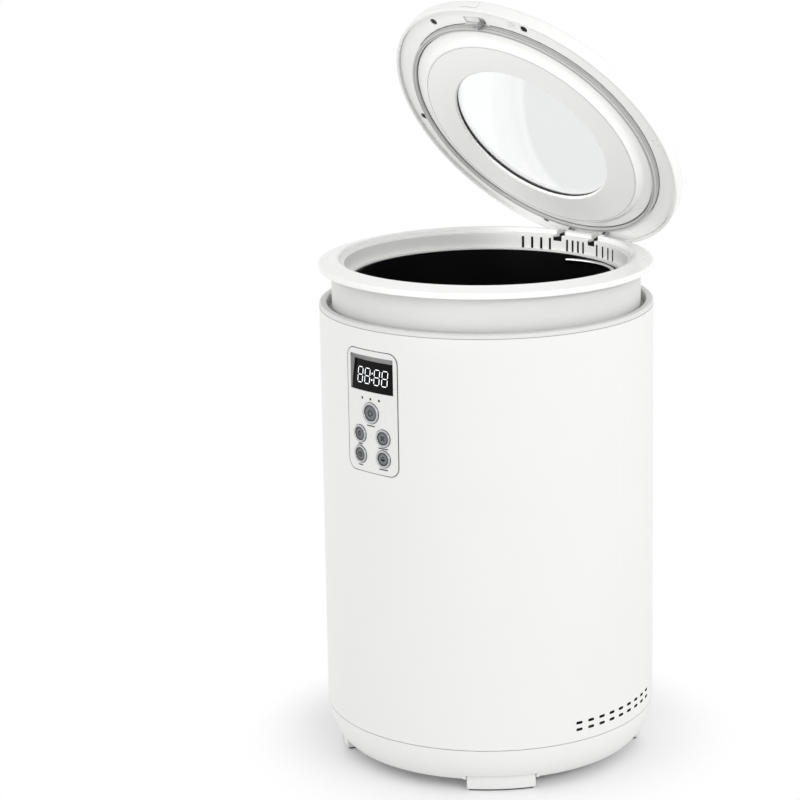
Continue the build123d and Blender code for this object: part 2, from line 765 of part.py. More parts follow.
def filter_cover():
    """Louvred cover on the back of the sleeve, with a spigot that fills the opening."""
    low, high = cover_z - cover_h / 2, cover_z + cover_h / 2
    half = degrees(cover_w / body_r)
    skin = turned([(body_radius(low) + run_gap, low), (body_radius(low) + cover_t, low),
                   (body_radius(high) + cover_t, high), (body_radius(high) + run_gap, high)],
                  middle=180, half=half) & prism(180, body_r / 2, cover_z, cover_w, cover_h,
                                                 body_r, cover_round + cover_lap / 2)
    inner_w, inner_h = cover_w - 2 * cover_lap - 2 * fit_gap, cover_h - 2 * cover_lap - 2 * fit_gap
    plug = turned([(body_radius(low) - 2 * sleeve_wall, low), (body_radius(low) + free_gap, low),
                   (body_radius(high) + free_gap, high),
                   (body_radius(high) - 2 * sleeve_wall, high)],
                  middle=180, half=half) & prism(180, body_r / 2, cover_z, inner_w, inner_h,
                                                 body_r, cover_round)
    cuts = []
    for i in range(louvre_rows):
        z = cover_z + (i - (louvre_rows - 1) / 2) * louvre_pitch
        cuts += [prism(180 + s * louvre_side, body_r - 4 * sleeve_wall, z, louvre_w, louvre_h,
                       8 * sleeve_wall, 0.48 * louvre_h) for s in (-1, 1)]
    return skin + plug - cuts


def power_inlet():
    """Mains inlet: flange, body and recess with three flat pins."""
    y_face = sqrt(body_r**2 - (inlet_w / 2)**2) + inlet_proud
    plate = prism(180, y_face - flange_t, inlet_z, inlet_w, inlet_h, flange_t, inlet_round)
    back_y = sqrt(sleeve_in_r**2 - (inlet_w / 2 + flange_t)**2) - fit_gap
    keeper = prism(180, back_y - flange_t, inlet_z, inlet_w + 2 * flange_t,
                   inlet_h + 2 * flange_t, flange_t)
    shell = prism(180, y_face - inlet_depth, inlet_z, socket_w + 2 * flange_t,
                  socket_h + 2 * flange_t, inlet_depth)
    neck = prism(180, back_y - flange_t, inlet_z, inlet_w - 2 * free_gap, inlet_h - 2 * free_gap,
                 y_face - back_y, socket_round)
    well = prism(180, y_face - inlet_depth + flange_t, inlet_z, socket_w, socket_h, inlet_depth,
                 socket_round)
    body = plate + keeper + shell + neck - well
    pins = [prism(180 + degrees(s * pin_side / y_face), y_face - inlet_depth + flange_t / 2,
                  inlet_z + z, pin_w, pin_h, pin_len)
            for s, z in ((-1, -pin_low), (0, pin_high), (1, -pin_low))]
    return body + pins


save("well_sleeve", well_sleeve())
save("well_pan", well_pan())
save("heater_plate", heater_plate())
save("insulation_blanket", blanket())
save("exhaust_duct", exhaust_duct())
save("blower_housing", blower_housing())
save("blower_impeller", blower_impeller())
save("carbon_filter", carbon_filter())
save("filter_cover", filter_cover())
save("power_inlet", power_inlet())


# ---- chassis, gear train and motor ----
out_r = out_module * out_teeth / 2
idler_pinion_r = out_module * idler_pinion_teeth / 2
idler_r = in_module * idler_teeth / 2
motor_gear_r = in_module * motor_teeth / 2
idler_x = (out_r + idler_pinion_r) * cos(radians(idler_bearing))
idler_y = (out_r + idler_pinion_r) * sin(radians(idler_bearing))
motor_x = idler_x + (idler_r + motor_gear_r) * cos(radians(motor_bearing))
motor_y = idler_y + (idler_r + motor_gear_r) * sin(radians(motor_bearing))
z_in_gears = z_case + case_wall + gear_gap
z_out_gears = z_in_gears + gear_face + gear_gap
z_cover = z_out_gears + gear_face + gear_gap
z_shaft_step = z_cover + case_wall + bearing_h
z_hex_top = z_pan - hex_below
z_motor = chassis_z - motor_h
fan_r = body_r - fan_in    # back of the fan from the body's axis
gear_axes = ((0, 0, out_r + out_module), (idler_x, idler_y, idler_r + in_module),
             (motor_x, motor_y, motor_gear_r + in_module))


def case_outline(grow):
    """Outline round the three gears, with room beyond their tips."""
    circles = [Pos(x, y) * Circle(r + grow) for x, y, r in gear_axes]
    return make_hull([e for c in circles for e in c.edges()])


def chassis_plate():
    """Round steel plate on the base's posts, with cable and air holes."""
    plate = rod(spigot_r - 2 * base_wall, chassis_z, z_case)
    plate -= rod(motor_boss_r + free_gap, chassis_z - 1, z_case + 1, motor_x, motor_y)
    ring = [at_ring(base_bottom_r - cable_in, a) for a in cable_angles]
    return plate - [rod(cable_hole_r, chassis_z - 1, z_case + 1, x, y) for x, y in ring]


def gearbox_case():
    """Lower half of the gearbox, with the idler's fixed pin."""
    outer = Pos(0, 0, z_case) * extrude(case_outline(case_clear + case_wall), z_cover - z_case)
    inner = Pos(0, 0, z_case + case_wall) * extrude(case_outline(case_clear), z_cover - z_case)
    case = outer - inner + rod(idler_pin_r, z_case + case_wall / 2, z_cover, idler_x, idler_y)
    case -= rod(out_shaft_r + run_gap, z_case - 1, z_in_gears)
    return case - rod(motor_boss_r + free_gap, z_case - 1, z_in_gears, motor_x, motor_y)


def gearbox_cover():
    """Cover of the gearbox with the output shaft's bearing boss."""
    cover = Pos(0, 0, z_cover) * extrude(case_outline(case_clear + case_wall), case_wall)
    cover += rod(2 * out_shaft_r, z_cover, z_shaft_step)
    return cover - rod(out_shaft_r + run_gap, z_cover - 1, z_shaft_step + 1)


def output_gear():
    """Output gear on its shaft, with the hexagon that drives the bucket's spindle."""
    wheel = gear(out_teeth, out_module, gear_face, z_out_gears, idler_bearing)
    windows = [Rot(0, 0, 60 * i) * rod(0.19 * out_r, z_out_gears - 1, z_out_gears + gear_face + 1,
                                       0.62 * out_r) for i in range(6)]
    wheel = wheel - windows
    wheel += rod(1.7 * out_shaft_r, z_out_gears - gear_gap / 2, z_cover - gear_gap / 2)
    wheel += rod(out_shaft_r, z_case + free_gap, z_shaft_step)
    return wheel + Pos(0, 0, z_shaft_step - 1) * extrude(RegularPolygon(hex_r, 6),
                                                         z_hex_top - z_shaft_step + 1)


def idler_gear():
    """Two gears in one piece: the large one from the motor, the pinion to the output."""
    big_phase = motor_bearing
    small_phase = idler_bearing + 180 + 180 / idler_pinion_teeth
    both = gear(idler_teeth, in_module, gear_face, z_in_gears, big_phase)
    both += gear(idler_pinion_teeth, out_module, gear_face + gear_gap, z_in_gears + gear_face,
                 small_phase)
    both -= rod(idler_pin_r + run_gap, z_in_gears - 1, z_cover)
    return Pos(idler_x, idler_y, 0) * both


def motor_pinion():
    """Pinion on the motor's shaft, with a gap of its teeth facing the idler."""
    pinion = gear(motor_teeth, in_module, gear_face, z_in_gears,
                  motor_bearing + 180 + 180 / motor_teeth)
    pinion += rod(motor_shaft_r, chassis_z - shaft_in_motor, z_in_gears + 1)
    return Pos(motor_x, motor_y, 0) * pinion


def motor():
    """Motor can under the chassis plate, with a boss that centres it in the gearbox."""
    can = rod(motor_r, z_motor, chassis_z, motor_x, motor_y)
    can = fillet(can.edges().filter_by(GeomType.CIRCLE).sort_by(Axis.Z)[0], motor_round)
    can += rod(motor_boss_r, chassis_z - 1, z_case + case_wall / 2, motor_x, motor_y)
    can += rod(0.4 * motor_r, z_motor - 2, z_motor + 1, motor_x, motor_y)
    return can - rod(motor_shaft_r + run_gap, chassis_z - shaft_in_motor - 1, z_case + case_wall,
                     motor_x, motor_y)


def fan_frame():
    """Square frame of the cooling fan, behind the side vents."""
    frame = prism(vent_angle, fan_r, fan_z, fan_size, fan_size, fan_t, 4)
    at = polar(vent_angle, fan_r, fan_z)
    bore = extrude(at * Circle(0.46 * fan_size), fan_t)
    hub = extrude(at * Circle(0.2 * fan_size), fan_t / 5)
    spokes = extrude(at * (Rectangle(fan_size, 4) + Rectangle(4, fan_size)), fan_t / 5)
    axle = extrude(at * Circle(axle_r), 0.8 * fan_t)
    return (frame - bore) + ((hub + spokes) & frame) + axle


def fan_rotor():
    """Seven-bladed rotor of the cooling fan."""
    at = polar(vent_angle, fan_r + 0.26 * fan_t, fan_z)
    depth = 0.6 * fan_t
    rotor = extrude(at * Circle(0.2 * fan_size), depth)
    blade_len = 0.44 * fan_size - 0.18 * fan_size
    for i in range(fan_blades):
        turn = Rot(0, 0, 360 / fan_blades * i)
        rotor += at * turn * Pos(0.18 * fan_size + blade_len / 2, 0, depth / 2) * Rot(
            fan_pitch, 0, 0) * Box(blade_len, 0.17 * fan_size, 1.2)
    return rotor - extrude(at * Circle(axle_r + run_gap), fan_t)


def power_board():
    """Power board on its stand-offs, with the parts that stand on it."""
    x0, y0 = board_in - base_bottom_r, board_front
    x1, y1 = x0 + board_w, y0 + board_d
    z0, z1 = z_floor + board_stand, z_floor + board_stand + board_t
    ends = (x0 + board_inset, x1 - board_inset), (y0 + board_inset, y1 - board_inset)
    board = block(x0, x1, y0, y1, z0, z1)
    board += [rod(board_inset / 2, z_floor, z0, x, y) for x in ends[0] for y in ends[1]]
    coil_y = (y0 + y1 - coil_size) / 2
    board += block(x0 + board_inset, x0 + board_inset + coil_size, coil_y, coil_y + coil_size,
                   z1, z1 + coil_size)
    board += [rod(can_r, z1, z1 + can_h, x1 - 1.5 * can_r, (y0 + y1) / 2 + can_pitch * i)
              for i in (-1, 0, 1)]
    return board


save("chassis_plate", chassis_plate())
save("gearbox_case", gearbox_case())
save("gearbox_cover", gearbox_cover())
save("output_gear", output_gear())
save("idler_gear", idler_gear())
save("motor_pinion", motor_pinion())
save("motor", motor())
save("cooling_fan_frame", fan_frame())
save("cooling_fan_rotor", fan_rotor())
save("power_board", power_board())


# ---- control panel ----
ctrl_back = body_r - ctrl_in
ctrl_front = ctrl_back + ctrl_t
display_low = display_z - display_h / 2
display_top = display_z + display_h / 2
face_r = body_radius(display_z) + panel_proud
key_places = [(0.0, main_key_z)] + [(s * key_side, z) for z in key_rows for s in (-1, 1)]
key_radii = [main_key_r] + [key_r] * 4
ring_radii = [main_ring_r] + [key_ring_r] * 4
key_names = ("key_power", "key_1", "key_2", "key_3", "key_4")
rim_t = 2.0               # panel's hidden rim, also its posts' radius


def flared(angle, half, low, high, inner, outer):
    """Sector between two offsets from the sleeve's flared surface."""
    return turned([(body_radius(low) + inner, low), (body_radius(low) + outer, low),
                   (body_radius(high) + outer, high), (body_radius(high) + inner, high)],
                  middle=angle, half=half)


def on_panel(side, z, offset):
    """Plane on the panel's surface, at a distance beside its middle, facing outwards."""
    return polar(degrees(side / body_radius(z)), body_radius(z) + offset, z)


def display_space(deep_low, deep_high, width):
    """Space between two depths over the display's height, for its window and its pocket."""
    low, top = display_low - fit_gap, display_top + fit_gap
    form = turned([(face_r - display_shallow - deep_low, low),
                   (face_r - display_shallow + deep_high, low),
                   (face_r - display_deep + deep_high, top),
                   (face_r - display_deep - deep_low, top)], middle=0, half=display_half)
    return form & prism(0, ctrl_front, display_z, width, 2 * display_h, 2 * frame_depth + window_t)


def display_recess():
    """Sloping recess in front of the display: deep at the top, nearly flush at the bottom."""
    low, top = display_low - fit_gap, display_top + fit_gap
    out = display_deep / 2
    form = turned([(face_r - display_shallow, low), (face_r + out, low),
                   (face_r + out, top + bevel_top * (display_deep + out) / display_deep),
                   (face_r - display_deep, top)], middle=0, half=display_half)
    lean = degrees(atan2(bevel_side, display_deep))
    sides = extrude(polar(0, face_r - display_deep - out, display_z)
                    * Rectangle(display_w - bevel_side, 2 * display_h + 4 * bevel_top),
                    2 * display_deep, taper=-lean)
    return form & sides


def control_panel():
    """Bezel with the display's recess and the key bores, a rim behind the sleeve and posts."""
    low, high = panel_z - panel_h / 2, panel_z + panel_h / 2
    w, h = panel_w - 2 * panel_groove, panel_h - 2 * panel_groove
    reach = body_r - ctrl_front + 2 * body_flare
    skin = flared(0, duct_half, low, high, -panel_skin, panel_proud)
    skin &= prism(0, ctrl_front, panel_z, w, h, reach, panel_round - panel_groove)
    behind = -sleeve_wall - free_gap
    rim = flared(0, duct_half, low - panel_lap, high + panel_lap, behind - rim_t, behind)
    rim &= prism(0, ctrl_front, panel_z, panel_w + 2 * panel_lap, panel_h + 2 * panel_lap, reach,
                 panel_round)
    rim -= prism(0, ctrl_front, panel_z, w - 2 * panel_lap, h - 2 * panel_lap, reach)
    frame = flared(0, duct_half, display_low - panel_lap, display_top + bevel_top + panel_lap / 2,
                   -frame_depth, -panel_skin / 2)
    frame &= prism(0, ctrl_front, panel_z, w - panel_groove, h, reach, panel_round - panel_groove)
    posts_at = [polar(0, ctrl_front, panel_z) * Pos(s * (ctrl_w / 2 - rim_t), e * (ctrl_h / 2 - panel_lap))
                for s in (-1, 1) for e in (-1, 1)]
    panel = skin + rim + frame + [extrude(p * Circle(rim_t), frame_depth + panel_skin)
                                  for p in posts_at]
    panel = panel - display_recess() - display_space(window_t + fit_gap / 2, fit_gap, display_w
                                                     + 2 * fit_gap)
    panel -= prism(0, ctrl_front - 1, display_z, display_w - 2 * bevel_side + 1,
                   display_h - bevel_side + 1, face_r - display_deep - ctrl_front)
    for (s, z), r_key, r_ring in zip(key_places, key_radii, ring_radii):
        panel -= extrude(on_panel(s, z, -frame_depth) * Circle(r_key + key_play), 2 * frame_depth)
        panel -= extrude(on_panel(s, z, -ring_sink) * Circle(r_ring + run_gap), frame_depth)
    for s in (-1, 0, 1):
        panel -= extrude(on_panel(s * lamp_side, lamp_z, -frame_depth)
                         * Circle(lamp_r + run_gap), 2 * frame_depth)
    return panel


def display_window():
    """Curved dark window over the display."""
    form = turned([(face_r - display_shallow - window_t, display_low),
                   (face_r - display_shallow, display_low), (face_r - display_deep, display_top),
                   (face_r - display_deep - window_t, display_top)], middle=0,
                  half=display_half)
    return form & prism(0, ctrl_front, display_z, display_w, 2 * display_h, 2 * frame_depth)


def indicator_lamp(side):
    """Small light guide in the panel."""
    return extrude(on_panel(side, lamp_z, -panel_skin) * Circle(lamp_r),
                   panel_skin + panel_proud + run_gap)


def button_ring(place, r_key, r_ring):
    """Raised ring round one key, with a rounded outer edge."""
    s, z = place
    at = on_panel(s, z, -ring_sink)
    ring = extrude(at * (Circle(r_ring) - Circle(r_key + key_play)), ring_sink + ring_proud)
    return fillet(rim_edges(ring, on_panel(s, z, ring_proud)), 0.2 * (r_ring - r_key))


def key(place, r_key):
    """Key with a rounded cap, a collar that keeps it behind the panel and a stem."""
    s, z = place
    behind = -panel_skin - 2 * fit_gap
    cap = extrude(on_panel(s, z, behind - rim_t / 2) * Circle(r_key),
                  panel_skin + 2 * fit_gap + rim_t / 2 + key_proud)
    cap = fillet(rim_edges(cap, on_panel(s, z, key_proud)), 0.5 * key_proud)
    cap += extrude(on_panel(s, z, behind - rim_t / 2) * Circle(r_key + 4 * key_play), rim_t / 2)
    stem_end = (ctrl_front + switch_h) / cos(s / body_radius(z)) + key_travel + key_play
    stem = body_radius(z) + behind - rim_t / 2 - stem_end
    return cap + extrude(on_panel(s, z, behind - rim_t / 2 - stem) * Circle(stem_r), stem + rim_t / 4)


def aside(item):
    """Turn a piece of the control panel with it, off the front."""
    return item.rotate(Axis.Z, panel_turn)


def control_board():
    """Board behind the panel with the display module and five switches."""
    board = block(-ctrl_w / 2, ctrl_w / 2, -ctrl_front, -ctrl_back, panel_z - ctrl_h / 2,
                  panel_z + ctrl_h / 2)
    board += block(-display_w / 2 + bevel_side, display_w / 2 - bevel_side,
                   -ctrl_front - module_h, -ctrl_front, display_low + bevel_side / 2,
                   display_top - bevel_side / 2)
    for s, z in key_places:
        x = s * ctrl_front / body_radius(z)
        board += block(x - switch_w / 2, x + switch_w / 2, -ctrl_front - switch_h / 2, -ctrl_front,
                       z - switch_w / 2, z + switch_w / 2)
        board += extrude(polar(0, ctrl_front, z) * Pos(x, 0) * Circle(stem_r / 2), switch_h)
    return board


rings = [button_ring(p, k, r) for p, k, r in zip(key_places, key_radii, ring_radii)]

save("control_panel", aside(control_panel()))
save("display_window", aside(display_window()))
save("indicator_lamps", *[aside(indicator_lamp(s * lamp_side)) for s in (-1, 0, 1)])
save("button_rings", *[aside(ring) for ring in rings])
for key_name, key_place, key_size in zip(key_names, key_places, key_radii):
    save(key_name, aside(key(key_place, key_size)))
save("control_board", aside(control_board()))


# ---- hinge ----
z_eye_clear = z_hinge - eye_r - 2 * free_gap
arm_top_y = hinge_back - arm_lean
z_elbow = z_bracket_top + pin_r


def hinge_bracket():
    """Block behind the liner that holds the hinge pin, slotted for the two arms."""
    half = bracket_w / 2
    body = block(-half, half, bracket_in_y, bracket_out_y, z_bracket, z_bracket_top)
    body -= [block(s * arm_x - arm_slot / 2, s * arm_x + arm_slot / 2, bracket_in_y - 1,
                   bracket_out_y + 1, z_eye_clear, z_bracket_top + 1) for s in (-1, 1)]
    body -= cross_rod(spring_coil_r + 3 * spring_wire_r, -spring_w / 2 - pin_r,
                      spring_w / 2 + pin_r, hinge_back, z_hinge)
    return body - cross_rod(pin_r + run_gap, -half - 1, half + 1, hinge_back, z_hinge)


def hinge_pin():
    """Steel pin through the bracket and both arms."""
    pin = cross_rod(pin_r, 1 - bracket_w / 2, bracket_w / 2 - 1, hinge_back, z_hinge)
    return chamfer(pin.edges().filter_by(GeomType.CIRCLE), 0.2 * pin_r)


def hinge_spring():
    """Torsion spring round the pin."""
    coil = Helix(spring_pitch, spring_w, spring_coil_r)
    wire = sweep(Plane(origin=coil @ 0, z_dir=coil % 0) * Circle(spring_wire_r), path=coil)
    return Pos(-spring_w / 2, hinge_back, z_hinge) * Rot(0, 90, 0) * wire


def hinge_arms():
    """Two steel arms with eyes on the pin, joined by a cross plate inside the lid."""
    z_leg = z_lid + recess + plate_t + step_t
    path = make_hull((Pos(hinge_back, z_hinge) * Circle(arm_w / 2)).edges()
                     + (Pos(arm_top_y, z_elbow) * Circle(arm_w / 2)).edges())
    leg = Pos(arm_top_y, (z_elbow + z_leg + cross_t) / 2) * Rectangle(arm_w, z_leg + cross_t
                                                                     - z_elbow)
    outline = path + leg + Pos(hinge_back, z_hinge) * Circle(eye_r)
    outline -= Pos(hinge_back, z_hinge) * Circle(pin_r + run_gap)
    arms = [extrude(Plane(origin=(s * arm_x - arm_t / 2, 0, 0), x_dir=(0, 1, 0), z_dir=(1, 0, 0))
                    * outline, arm_t) for s in (-1, 1)]
    half = arm_x + 2 * arm_t
    plate = block(-half, half, arm_top_y - cross_in, arm_top_y + arm_w / 2, z_leg,
                  z_leg + cross_t)
    return plate + arms


def interlock_switch():
    """Switch under the liner's flange that the closed latch hook presses."""
    x1 = hook_x + hook_w
    low, high = z_hook - switch_body_h, z_hook - latch_travel
    y0 = -flange_r + switch_back
    y1 = -liner_out_r - free_gap
    body = block(x1 - switch_body_w, x1, y0, y1, low, high)
    body += block(x1 - switch_body_w - hook_w, x1 - switch_body_w, y0, y1, low,
                  z_skirt - liner_wall)
    return body + block(hook_x - hook_w / 4, hook_x + hook_w / 4, y0 + hook_w / 3,
                        y0 + hook_w, high, high + latch_travel / 2)


save("hinge_bracket", hinge_bracket())
save("hinge_pin", hinge_pin())
save("hinge_spring", hinge_spring())
save("hinge_arms", opened(hinge_arms()))
save("interlock_switch", interlock_switch())


# ---- lid, modelled closed and then opened ----
plate_low = z_lid + recess
plate_top = plate_low + plate_t
z_shoulder = z_lid + lid_h
z_window_edge = z_shoulder + lid_crown
z_panel = z_lid - panel_drop
z_gasket = z_panel + panel_wall
z_glass = z_gasket + gasket_t
z_glass_top = z_glass + glass_t
z_funnel = z_glass_top + fit_gap
plate_in_r = seal_r + fit_gap
step_out_r = plate_in_r + lid_wall
step_in_r = step_out_r - step_w
cover_in_r = lid_r - rim_lip
screw_ring_r = cover_in_r - screw_inset
glass_r = window_r + glass_lap


def cover_under(r):
    """Height of the cover's inner face at a radius."""
    return z_shoulder - lid_wall + lid_crown * (lid_r - r) / (lid_r - funnel_r)


def latch_box(z0, z1, half=latch_w / 2):
    """Room for the latch through the lid's underside."""
    return block(latch_x - half, latch_x + half, -latch_out_r, -latch_in_r, z0, z1)


def lid_cover():
    """Shallow domed cover with a funnel down to the glass, bosses and the tab's opening."""
    foot_r = window_r + glass_lap / 4
    lean = (funnel_r - foot_r) / (z_window_edge - z_funnel)
    across = lid_wall * hypot(1, lean)
    cover = turned([(cover_in_r, z_lid), (lid_r, z_lid), (lid_r, z_shoulder),
                    (funnel_r, z_window_edge), (foot_r, z_funnel), (foot_r + across, z_funnel),
                    (funnel_r + across - lean * lid_wall, z_window_edge - lid_wall),
                    (cover_in_r, cover_under(cover_in_r))],
                   rounds=[((lid_r, z_shoulder), lid_round), ((lid_r, z_lid), rim_round),
                           ((funnel_r, z_window_edge), lid_wall)])
    for angle in screw_angles:
        x, y = at_ring(screw_ring_r, angle)
        cover += rod(boss_r, plate_top, cover_under(screw_ring_r) + lid_wall / 2, x, y)
        cover -= rod(screw_r + run_gap, plate_top - 1, cover_under(screw_ring_r), x, y)
    tab_side = tab_w / 2 + free_gap
    return cover - block(latch_x - tab_side, latch_x + tab_side, -lid_r - 1, 1 - cover_in_r,
                         tab_low - free_gap, tab_low + tab_h + free_gap)


def lid_underside():
    """Flat ring that closes the lid below, with slots for the arms and the latch."""
    ring = turned([(plate_out_r, plate_low), (plate_in_r, plate_low), (plate_in_r, plate_top),
                   (step_in_r, plate_top), (step_in_r, plate_top + step_t),
                   (step_out_r, plate_top + step_t), (step_out_r, plate_top),
                   (plate_out_r, plate_top)])
    ring -= [block(s * arm_x - arm_t / 2 - fit_gap, s * arm_x + arm_t / 2 + fit_gap,
                   arm_top_y - arm_w / 2 - fit_gap, arm_top_y + arm_w / 2 + fit_gap,
                   plate_low - 1, plate_top + step_t + 1) for s in (-1, 1)]
    for angle in screw_angles:
        x, y = at_ring(screw_ring_r, angle)
        ring -= rod(screw_r + screw_play / 2, plate_low - 1, plate_top + 1, x, y)
        ring -= rod(screw_head_r + screw_play, plate_low - 1, plate_low + plate_t / 2, x, y)
    x, y = at_ring(screw_ring_r, bumper_angle)
    ring -= rod(bumper_r / 2 + run_gap, plate_low - 1, plate_top + 1, x, y)
    ring -= latch_box(plate_low - 1, plate_top + 1)
    ring -= block(latch_x - slider_w / 2 - 2 * free_gap, latch_x + slider_w / 2 + 2 * free_gap,
                  -plate_out_r, -latch_in_r, plate_top, plate_top + 2 * step_t)
    pegs = [block(latch_x + s * (slider_w + finger_w) / 2 - finger_t, latch_x + s * (
        slider_w + finger_w) / 2 + finger_t, finger_y + finger_t / 2 + latch_travel + fit_gap,
        finger_y + finger_t / 2 + latch_travel + fit_gap + 2 * finger_t, plate_top - 0.5,
        plate_top + slider_t + slider_lift) for s in (-1, 1)]
    return ring + pegs


def inner_panel():
    """Dished ring between the seal and the window, with a rim round the glass."""
    z_flange = z_lid - flange_drop
    edge_r = seal_in_r - fit_gap
    rim_r = glass_r + fit_gap
    run = panel_wall / 2
    return turned([(window_r, z_panel), (panel_r, z_panel), (panel_r + panel_rise, z_flange),
                   (edge_r, z_flange), (edge_r, plate_top), (edge_r - panel_wall, plate_top),
                   (edge_r - panel_wall, z_flange + panel_wall),
                   (panel_r + panel_rise - run, z_flange + panel_wall),
                   (panel_r - run, z_gasket), (rim_r + panel_wall, z_gasket),
                   (rim_r + panel_wall, z_glass_top), (rim_r, z_glass_top), (rim_r, z_gasket),
                   (window_r, z_gasket)],
                  rounds=[((window_r, z_panel), 0.7 * panel_wall),
                          ((panel_r, z_panel), 0.3 * run), ((edge_r, z_flange), run)])


def lid_seal():
    """Grey seal ring that closes on the step of the well, with two grooves."""
    seal = tube(seal_r, seal_in_r, z_seal, plate_top - fit_gap)
    seal -= [tube(seal_r + 1, seal_r - ridge_t, z, z + ridge_t)
             for z in (z_seal + 2 * ridge_t, z_seal + 5 * ridge_t)]
    return fillet(rim_edges(seal, Plane.XY.offset(z_seal)), ridge_t)


def lid_bumper():
    """Soft stop that rests on the collar when the lid is closed."""
    x, y = at_ring(screw_ring_r, bumper_angle)
    foot_z = collar_top(screw_ring_r - bumper_r) + run_gap
    return (rod(bumper_r, foot_z, plate_low, x, y)
            + rod(bumper_r / 2, plate_low - run_gap, plate_top, x, y))


def lid_screw(angle):
    """Screw from below into one of the cover's bosses, with a cross slot."""
    x, y = at_ring(screw_ring_r, angle)
    head_low, head_top = plate_low + fit_gap, plate_low + plate_t / 2
    screw = rod(screw_head_r, head_low, head_top, x, y)
    slot = Rectangle(screw_head_r, screw_r / 2) + Rectangle(screw_r / 2, screw_head_r)
    screw -= Pos(x, y, head_low - 1) * extrude(slot, 1 + (head_top - head_low) / 2)
    return screw + rod(screw_r, head_top - run_gap, plate_top + 2 * plate_t, x, y)


def latch_slider():
    """Push tab in the lid's side, with its plate, tongue and two spring fingers."""
    low, high = plate_top + slider_lift, plate_top + slider_lift + slider_t
    front = -cover_in_r + rim_lip / 2 + fit_gap
    back = -latch_in_r - latch_travel - run_gap * 2
    slide = block(latch_x - slider_w / 2, latch_x + slider_w / 2, front, back, low, high)
    slide += block(latch_x - tab_w / 2, latch_x + tab_w / 2, rim_lip / 4 - lid_r, front, low,
                   high)
    tab_in = plate_out_r + latch_travel + run_gap * 2
    tab = tube(lid_r + fit_gap, tab_in - 1, tab_low, tab_low + tab_h)
    slide += tab & block(latch_x - tab_w / 2, latch_x + tab_w / 2, -lid_r - 1, -tab_in, tab_low,
                         tab_low + tab_h)
    edge = hook_x - hook_w / 2 - 2 * free_gap
    slide += block(latch_x - latch_w / 2 + 3 * free_gap, edge, -pad_front, back, low - pad_drop,
                   low + slider_t / 2)
    reach = (slider_w + finger_w) / 2 + finger_t
    slide += block(latch_x - reach, latch_x + reach, finger_y - finger_t / 2,
                   finger_y + finger_t / 2, low, high)
    return slide - block(hook_x - hook_w / 2 - run_gap, hook_x + hook_w / 2 + run_gap,
                         -hook_out - run_gap, back + 1, low - 1, high + 1)


def latch_hook():
    """Steel hook on the slider that catches under the collar's skirt."""
    foot_z = plate_top + slider_lift + slider_t
    x0, x1 = hook_x - hook_w / 2, hook_x + hook_w / 2
    hook = block(x0, x1, -hook_out - hook_w, hook_t - hook_out, foot_z, foot_z + hook_t / 2)
    hook += block(x0, x1, -hook_out, hook_t - hook_out, z_hook, foot_z + hook_t / 4)
    nose = block(x0, x1, -mouth_r - hook_bite + fit_gap, hook_t - hook_out, z_hook,
                 z_skirt - fit_gap - run_gap * 6)
    return hook + nose


tab_low = plate_low + 2 * free_gap
hook_out = mouth_r - 2.5 * fit_gap
pad_front = screw_ring_r - screw_r - free_gap + fit_gap
finger_y = 2 * rim_lip - cover_in_r - finger_t

save("lid_cover", opened(lid_cover()))
save("lid_underside", opened(lid_underside()))
save("lid_inner_panel", opened(inner_panel()))
save("window_gasket", opened(tube(glass_r, window_r + fit_gap, z_gasket, z_glass)))
save("lid_window", opened(rod(glass_r, z_glass, z_glass_top)))
save("lid_seal", opened(lid_seal()))
save("lid_bumper", opened(lid_bumper()))
save("lid_screws", *[opened(lid_screw(a)) for a in screw_angles])
save("latch_slider", opened(latch_slider()))
save("latch_hook", opened(latch_hook()))


# ---- bucket, agitator and bail ----
z_bucket_in = bucket_floor + bucket_wall
z_pivot = z_bucket_rim - bail_drop
z_bush_top = z_bucket_in + bush_h
z_cup = z_hex_top - hex_lap
z_hub_top = z_bush_top + hub_h
z_scraper = z_bucket_in + blade_t
wire_r = bail_wire / 2
wall_lean = (bucket_top_r - bucket_bottom_r) / (z_bucket_rim - bucket_floor)
pivot_wall_r = bucket_top_r - bucket_wall - wall_lean * bail_drop
bail_r = pivot_wall_r - bail_inset
rest_rise = sqrt((grip_r + run_gap) ** 2 - (bucket_top_r - bucket_wall - bail_r) ** 2)
grip_end = bail_r * cos(radians(grip_sweep / 2))
bail_lift = degrees(asin((z_bucket_rim + rest_rise - z_pivot) / grip_end))


def bucket():
    """Tapered bucket with a rolled rim, a bored floor and two lugs for the bail."""
    z_bead = z_bucket_rim - bucket_rim_t
    shell = turned([(0, bucket_floor), (bucket_bottom_r, bucket_floor), (bucket_top_r, z_bead),
                    (bucket_rim_r, z_bead), (bucket_rim_r, z_bucket_rim),
                    (bucket_top_r - bucket_wall, z_bucket_rim),
                    (bucket_bottom_r - bucket_wall, z_bucket_in), (0, z_bucket_in)],
                   rounds=[((bucket_bottom_r, bucket_floor), 2 * bucket_wall),
                           ((bucket_bottom_r - bucket_wall, z_bucket_in), bucket_wall),
                           ((bucket_rim_r, z_bucket_rim), 0.4 * bucket_rim_t),
                           ((bucket_rim_r, z_bead), 0.3 * bucket_rim_t)])
    shell -= rod(bush_r + run_gap, bucket_floor - 1, z_bucket_in + 1)
    for side in (90, 270):
        lug = prism(bail_turn + side, bail_r + wire_r + free_gap, z_pivot, lug_w, lug_w,
                    bail_inset - wire_r, 0.3 * lug_w)
        bore = extrude(polar(bail_turn + side, bail_r, z_pivot) * Circle(wire_r + run_gap),
                       bail_inset + 2 * bucket_wall)
        shell = shell + lug - bore
    return shell


